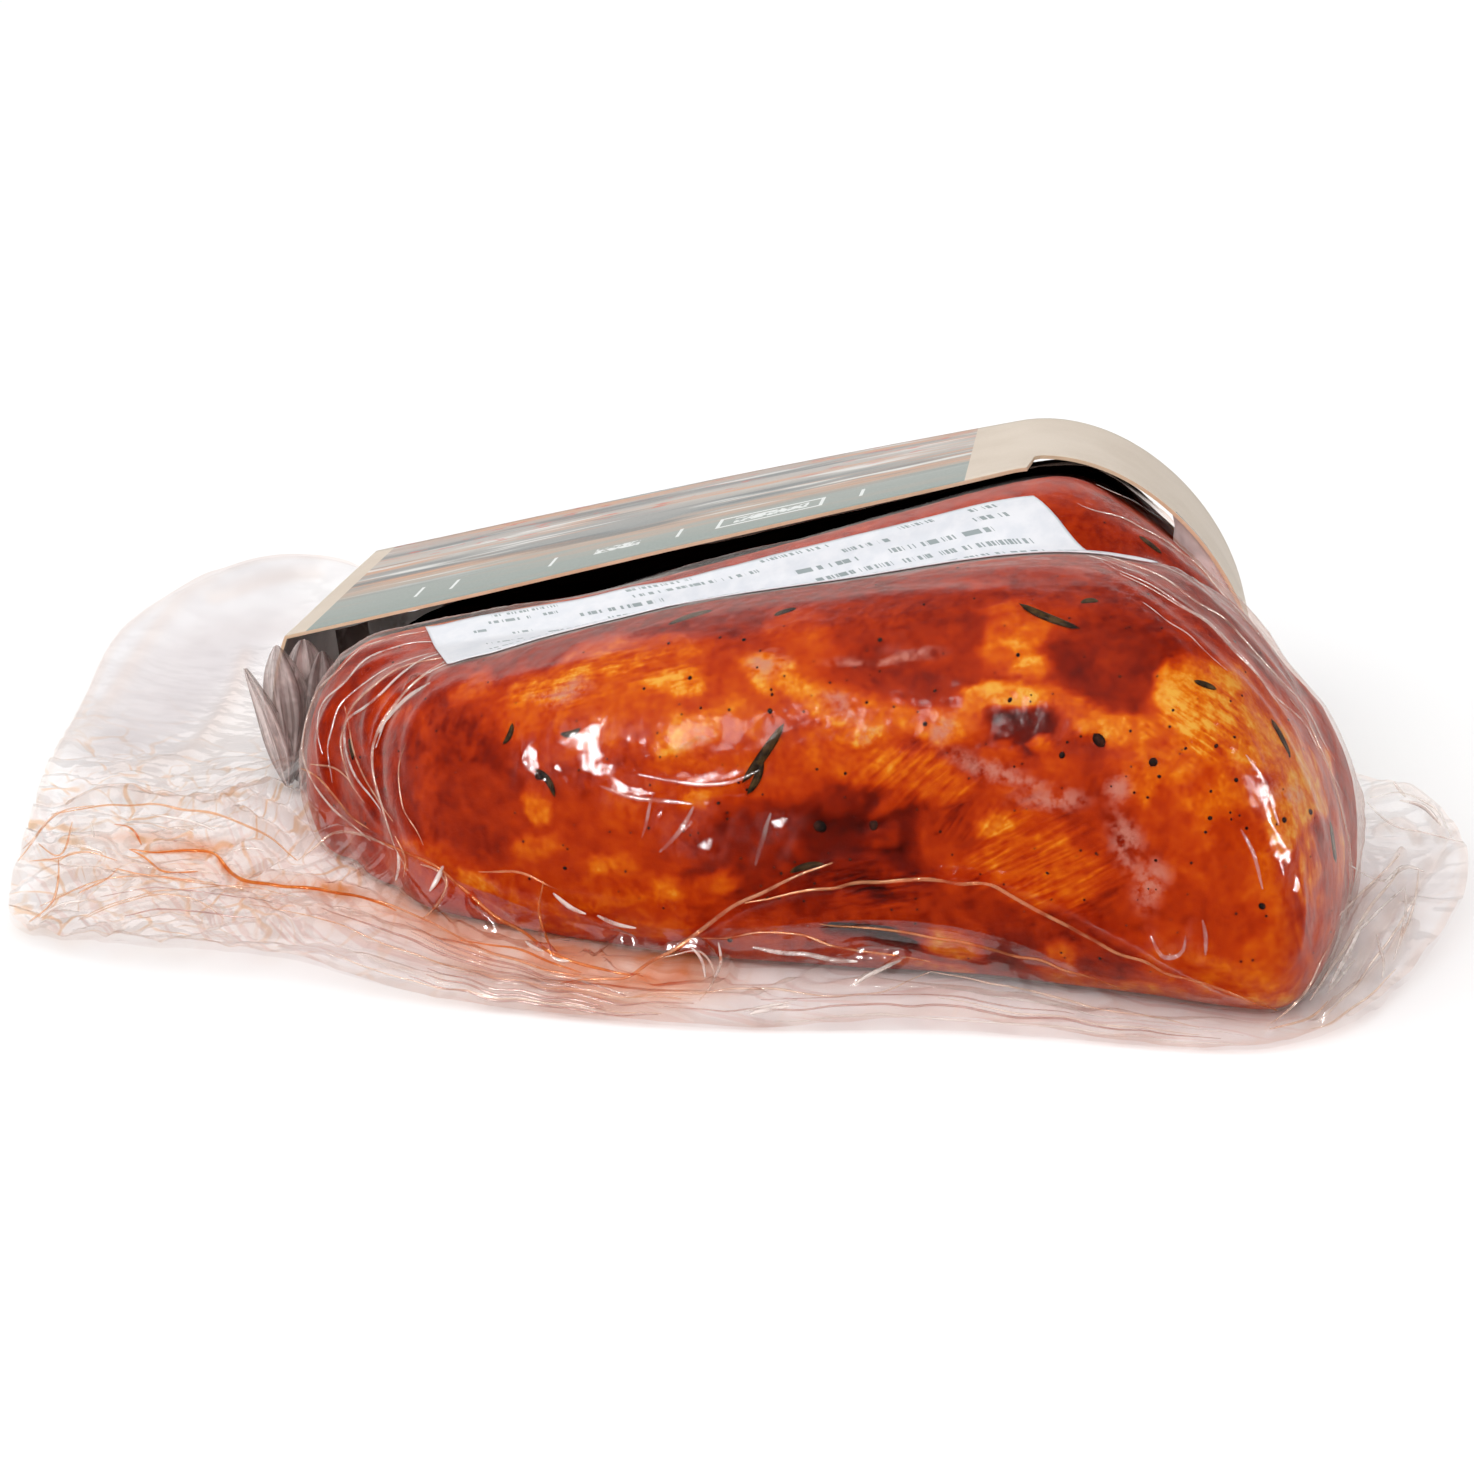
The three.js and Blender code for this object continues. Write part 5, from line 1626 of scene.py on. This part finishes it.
def make_curtain():
    """Film inside the wrap: pale in its right shoulder, just behind its front edge, and at its left a dark
    sheet of painted shade in the wrap's hollow.
    """
    arch = bezier(CARD_SHOULDER, 40)
    arch = arch[arch[:, 0] > ARCH_FROM]
    inward = -side_normals(arch)
    depths = 1 + 6 * smoothstep(ARCH_FROM, ARCH_FULL, arch[:, 0])
    shoulder, left_end = [], []
    for down in np.linspace(0, 1, CURTAIN_ROWS):
        x, z = (arch + inward * (0.5 + depths * down)[:, None]).T
        shoulder.append(np.stack([x, np.full_like(x, CARD_FLAP_FRONT + 0.4 + 1.5 * down), z], axis=1))
    for up in np.linspace(0, 1, DARK_ROWS):
        x = np.linspace(DARK_FROM, DARK_TO, DARK_COLUMNS)
        z = lerp(6, 23 + 0.27 * (x - DARK_FROM), up)
        left_end.append(np.stack([x, 24 + 0.15 * (x + 60) + 1.5 * np.sin(x * 0.4 + z * 0.2), z], axis=1))
    points, faces = joined([
        (np.vstack(shoulder), grid_faces(CURTAIN_ROWS, len(arch))),
        (np.vstack(left_end), grid_faces(DARK_ROWS, DARK_COLUMNS)),
    ])
    pale = np.repeat([0.8, 0.0], [CURTAIN_ROWS * len(arch), DARK_ROWS * DARK_COLUMNS])
    # the dark tone paints the shade inside the wrap's left end
    film = cloudy_material("film_curtain", srgb(96, 78, 70), srgb(250, 250, 250), 0.9, 1.0)
    return add_mesh("film_curtain", points, faces, film, {"pale": pale})


# ---- Card wrap ----


def bezier(controls, steps):
    """Points of a quadratic or cubic curve."""
    t = np.linspace(0, 1, steps)[:, None]
    points = [np.asarray(c, float) * np.ones_like(t) for c in controls]
    while len(points) > 1:
        points = [lerp(a, b, t) for a, b in zip(points[:-1], points[1:])]
    return points[0]


def side_normals(path):
    """Unit vectors to the left of a path in a plane."""
    slope = np.gradient(path, axis=0)
    slope /= np.linalg.norm(slope, axis=1, keepdims=True)
    return np.stack([-slope[:, 1], slope[:, 0]], axis=1)


def card_path():
    runs = ((CARD_LEFT_FLAP, 24), ((CARD_LEFT_FLAP[-1], CARD_SHOULDER[0]), 90), (CARD_SHOULDER, 60),
            ((CARD_SHOULDER[-1], CARD_RIGHT_FOOT), 12))
    return np.vstack([bezier(controls, steps)[min(k, 1):] for k, (controls, steps) in enumerate(runs)])


def twist_to_rear(points):
    """The wrap's right end lies lower and further in at the rear edge than at the front."""
    back = (points[:, 1] - CARD_FRONT) / (CARD_REAR - CARD_FRONT)
    fold_x, end_x = CARD_LEFT_FLAP[-1][0], CARD_SHOULDER[0][0]
    share = back * np.clip((points[:, 0] - fold_x) / (end_x - fold_x), 0, 1)
    high = points[:, 2] / CARD_SHOULDER[0][1]
    return points - np.stack([share * CARD_REAR_PULL, 0 * share, share * high * CARD_REAR_DROP], axis=1)


CARD_ROWS = 28
BOARD_THICK = 0.65


def make_card():
    path = card_path()
    normal = side_normals(path)
    along = passed_along(path)
    front = lerp(CARD_FRONT, CARD_FLAP_FRONT, smoothstep(CARD_NOTCH_X - 0.6, CARD_NOTCH_X + 0.6, path[:, 0]))
    y = lerp(front, CARD_REAR, np.linspace(0, 1, CARD_ROWS)[:, None]).ravel()
    flat_place = np.stack([np.tile(path[:, 0], CARD_ROWS), y, np.zeros(y.size)], axis=1)
    warp = 0.25 * layered_noise(flat_place, 45, 2, 160)[:, None]
    layers = []
    for side in (1, -1):
        x, z = (np.tile(path + side * normal * BOARD_THICK / 2, (CARD_ROWS, 1))
                + np.tile(normal, (CARD_ROWS, 1)) * warp).T
        layers.append(twist_to_rear(np.stack([x, y, z], axis=1)))
    depth = (y - CARD_FRONT) / (CARD_REAR - CARD_FRONT)
    layout = np.stack([np.tile(along / along[-1], CARD_ROWS), depth], axis=1)
    card = add_sheet("card_wrap_board", layers, CARD_ROWS, len(path), layout, printed_card_material())
    inside = plain_card_material("card_inside", srgb(176, 172, 166), srgb(196, 192, 186), 0.6)
    cut_edge = plain_card_material("card_cut_edge", srgb(222, 186, 150), srgb(236, 204, 172), 0.7)
    card.data.materials.append(inside)
    card.data.materials.append(cut_edge)
    side_faces = (CARD_ROWS - 1) * (len(path) - 1)
    edge_faces = len(card.data.polygons) - 2 * side_faces
    kinds = np.repeat([0, 1, 2], [side_faces, side_faces, edge_faces])
    card.data.polygons.foreach_set("material_index", kinds.astype(np.int32))
    card.data.polygons.foreach_set("use_smooth", kinds < 2)
    return card


# ---- Label ----


LABEL_COLUMNS = 150
LABEL_ROWS = 30
LABEL_THICK = 0.25


def make_label(film_tree):
    """The label, draped over the film from above."""
    rear_left, rear_right, front_right, front_left = (np.array(c, float) for c in LABEL_CORNERS)
    along, forward = np.meshgrid(np.linspace(0, 1, LABEL_COLUMNS), np.linspace(0, 1, LABEL_ROWS))
    along, forward = along.ravel()[:, None], forward.ravel()[:, None]
    plan = lerp(lerp(rear_left, rear_right, along), lerp(front_left, front_right, along), forward)
    down = Vector((0, 0, -1))
    heights = np.array([film_tree.ray_cast(Vector((x, y, 200.0)) * MM, down)[0].z / MM for x, y in plan])
    smooth = heights.reshape(LABEL_ROWS, LABEL_COLUMNS)
    for _ in range(10):
        padded = np.pad(smooth, 1, mode="edge")
        smooth = (padded[1:-1, :-2] + padded[1:-1, 2:] + padded[:-2, 1:-1] + padded[2:, 1:-1]) / 4
    heights = np.maximum(smooth.ravel(), heights) + 0.15
    heights += 0.35 * (1 - forward[:, 0]) * (1 + noise(plan, 9, 170))
    sides = [np.column_stack([plan, heights + thick]) for thick in (LABEL_THICK, 0)]
    layout = np.hstack([along, forward])
    return add_sheet("label_sheet", sides, LABEL_ROWS, LABEL_COLUMNS, layout, paper_material(), flipped=True)


# ---- Herbs and pepper ----

# Rosemary needles in the picture: x, y of the middle, turn in degrees, length in millimetres.
NEEDLES = [
    (764, 754, 55, 12), (758, 776, 70, 7), (1048, 618, -32, 11), (690, 617, 12, 8), (1281, 738, -50, 7),
    (1332, 842, -75, 7), (548, 780, -50, 6), (510, 735, 60, 4), (571, 734, 10, 4), (1205, 685, -10, 4),
    (1089, 601, 10, 3), (806, 866, 20, 6), (352, 748, -60, 5), (785, 612, 15, 4), (1150, 545, -30, 5),
    (890, 560, 12, 5),
]
# Peppercorn pieces in the picture: x, y, radius in millimetres.
CORNS = [
    (820, 826, 1.2), (874, 825, 0.9), (1099, 740, 1.2), (1153, 762, 0.7), (540, 775, 0.9), (1310, 812, 0.6),
    (1262, 906, 0.6), (1062, 755, 0.6), (925, 724, 0.4), (1018, 655, 0.4), (1010, 700, 0.45), (744, 640, 0.4),
    (770, 711, 0.45), (880, 640, 0.4), (1284, 820, 0.5), (1210, 818, 0.45), (1236, 780, 0.4), (690, 678, 0.35),
    (652, 610, 0.45), (1216, 746, 0.4), (565, 868, 0.4), (730, 940, 0.5),
]


def spindle(length, radius, bend, rings=9, sides=8):
    """A slim body with pointed ends along X, slightly bent."""
    t = np.linspace(-1, 1, rings)[1:-1]
    width = radius * (1 - t**2) ** 0.55
    angle = np.linspace(0, 2 * np.pi, sides, endpoint=False)
    x = np.repeat(t * length / 2, sides)
    y = (width[:, None] * np.cos(angle)).ravel() + np.repeat(bend * t**2, sides)
    z = (0.6 * width[:, None] * np.sin(angle)).ravel()
    tips = np.array([[-length / 2, bend, 0], [length / 2, bend, 0]])
    return np.vstack([np.stack([x, y, z], axis=1), tips]), capped_faces(len(t), sides)


def meat_spot(tree, x, y):
    """The place on the meat behind a point of the picture, and the surface's normal there."""
    place, normal, _, _ = tree.ray_cast(Vector(EYE) * MM, picture_ray(x, y))
    return (np.array(place) / MM, np.array(normal)) if place else (None, None)


def laid_on(points, place, normal, turn):
    """Points of a small body turned to lie flat on a surface, at an angle seen by the viewer."""
    across = np.array([math.cos(TURN_LEFT), math.sin(TURN_LEFT), 0.0])
    across -= normal * (across @ normal)
    across /= np.linalg.norm(across)
    upward = np.cross(normal, across)
    c, s = math.cos(math.radians(turn)), math.sin(math.radians(turn))
    first = across * c + upward * s
    second = upward * c - across * s
    return place + points[:, :1] * first + points[:, 1:2] * second + points[:, 2:] * normal


def make_herbs(tree):
    random = np.random.default_rng(SEED)
    bodies = []
    for x, y, turn, length in NEEDLES:
        place, normal = meat_spot(tree, x, y)
        if place is not None:
            points, faces = spindle(length, 0.45 + 0.03 * length, random.uniform(-0.8, 0.8))
            bodies.append((laid_on(points, place + 0.1 * normal, normal, turn), faces))
    herb = herb_material("dark_herb", srgb(34, 20, 8), srgb(80, 58, 28))
    return add_mesh("rosemary_needles", *joined(bodies), herb)


SMALL_SPECKS = 260


def make_pepper(tree):
    random = np.random.default_rng(SEED + 1)
    spots = [*CORNS]
    for _ in range(SMALL_SPECKS):
        spots.append((random.uniform(330, 1340), random.uniform(560, 980), random.uniform(0.12, 0.3)))
    bodies = []
    for x, y, radius in spots:
        place, normal = meat_spot(tree, x, y)
        if place is not None:
            points, faces = spindle(2 * radius, radius * 0.9, 0.0, 6, 7)
            points = points * random.uniform(0.8, 1.2, 3)
            seat = place + 0.15 * radius * normal
            bodies.append((laid_on(points, seat, normal, random.uniform(0, 360)), faces))
    pepper = herb_material("dark_pepper", srgb(16, 8, 5), srgb(60, 26, 14))
    return add_mesh("pepper_bits", *joined(bodies), pepper)


# ---- Floor, light and camera ----


FLOOR_SIDE = 40000
FLOOR_DROP = 0.3  # keeps the floor clear of the film, in millimetres


def make_floor():
    corners = [(x * FLOOR_SIDE, y * FLOOR_SIDE, -FLOOR_DROP) for x, y in ((-1, -1), (1, -1), (1, 1), (-1, 1))]
    add_mesh("floor", corners, [[0, 1, 2, 3]], floor_material())


def add_softbox(name, at, towards, size, watts):
    """A soft oblong light that shows in reflections only; places in millimetres."""
    lamp = bpy.data.lights.new(name, "AREA")
    lamp.shape = "RECTANGLE"
    lamp.size, lamp.size_y = (side * MM for side in size)
    lamp.energy = watts
    light = add_object(name, lamp)
    light.location = Vector(at) * MM
    light.rotation_euler = (Vector(towards) - Vector(at)).to_track_quat("-Z", "Y").to_euler()
    light.visible_diffuse = False


def add_sky_light(name, direction, strength, width):
    """Even light over the whole floor from a wide part of the sky, its width in degrees."""
    lamp = bpy.data.lights.new(name, "SUN")
    lamp.energy = strength
    lamp.angle = math.radians(width)
    add_object(name, lamp).rotation_euler = Vector(direction).to_track_quat("Z", "Y").to_euler()


# The sky's brightness: from the horizon's height to the upper one it falls from 1 to this share.
SKY_HORIZON = 0.04
SKY_UPPER = 0.16
SKY_SHARE = 0.42


def make_light():
    """A plain sky, brightest at the horizon, with soft light from the front and boxes that only shine."""
    world = bpy.data.worlds.new("studio")
    world.use_nodes = True
    tree = world.node_tree
    background = tree.nodes["Background"]
    background.inputs[0].default_value = WHITE
    parts = tree.nodes.new("ShaderNodeSeparateXYZ")
    tree.links.new(tree.nodes.new("ShaderNodeTexCoord").outputs["Generated"], parts.inputs[0])
    fall = tree.nodes.new("ShaderNodeMapRange")
    for socket, value in enumerate((SKY_HORIZON, SKY_UPPER, 1.0, SKY_SHARE), 1):
        fall.inputs[socket].default_value = value
    tree.links.new(parts.outputs[2], fall.inputs["Value"])
    tree.links.new(fall.outputs[0], background.inputs[1])
    bpy.context.scene.world = world
    add_sky_light("day", (-0.25, -0.5, 0.83), 2.3, 80)
    add_softbox("rear", (-250, 1100, 950), (0, 20, 50), (2000, 900), 10)
    add_softbox("key", KEY_PLACE, (0, -76, 37), (340, 260), 15)
    add_softbox("right_strip", STRIP_PLACE, (103, -80, 40), (120, 480), 13)


def make_camera():
    lens = bpy.data.cameras.new("view")
    lens.sensor_width = SENSOR
    lens.lens = FOCAL_PIXELS / PICTURE_SIZE * SENSOR
    lens.clip_end = 50
    camera = add_object("view", lens)
    camera.location = Vector(EYE) * MM
    camera.rotation_euler = (math.pi / 2 - TILT_DOWN, 0, TURN_LEFT)
    bpy.context.scene.camera = camera


def tree_of(*pieces):
    """A search tree over the surfaces of the pieces, in metres."""
    bodies = []
    for piece in pieces:
        bodies.append((points_of(piece.data) * MM, [list(face.vertices) for face in piece.data.polygons]))
    points, faces = joined(bodies)
    return BVHTree.FromPolygons(points.tolist(), faces)


# ---- The pack ----

make_camera()
make_floor()
make_light()
bpy.context.scene.view_settings.view_transform = "Standard"

raw, quads = joined_racks()
even = relaxed(raw, face_edges(quads), 9)
meat, meat_points = make_meat(even, quads, normals_of(even, quads))
film = make_film(even, quads, meat_points)
top_web = make_top_web()
bottom_web = make_bottom_web()
card = make_card()
meat_tree = tree_of(meat)
label = make_label(tree_of(film))
herbs = make_herbs(meat_tree)
pepper = make_pepper(meat_tree)
folds = make_folds(tree_of(film, top_web))
leaves = make_leaves()
curtain = make_curtain()

for piece in (meat, film, top_web, bottom_web, herbs, pepper, folds, leaves, curtain):
    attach(piece, "root")
    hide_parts("bag")
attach(card, "root")
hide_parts("card_wrap")
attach(label, "root")
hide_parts("price_label")
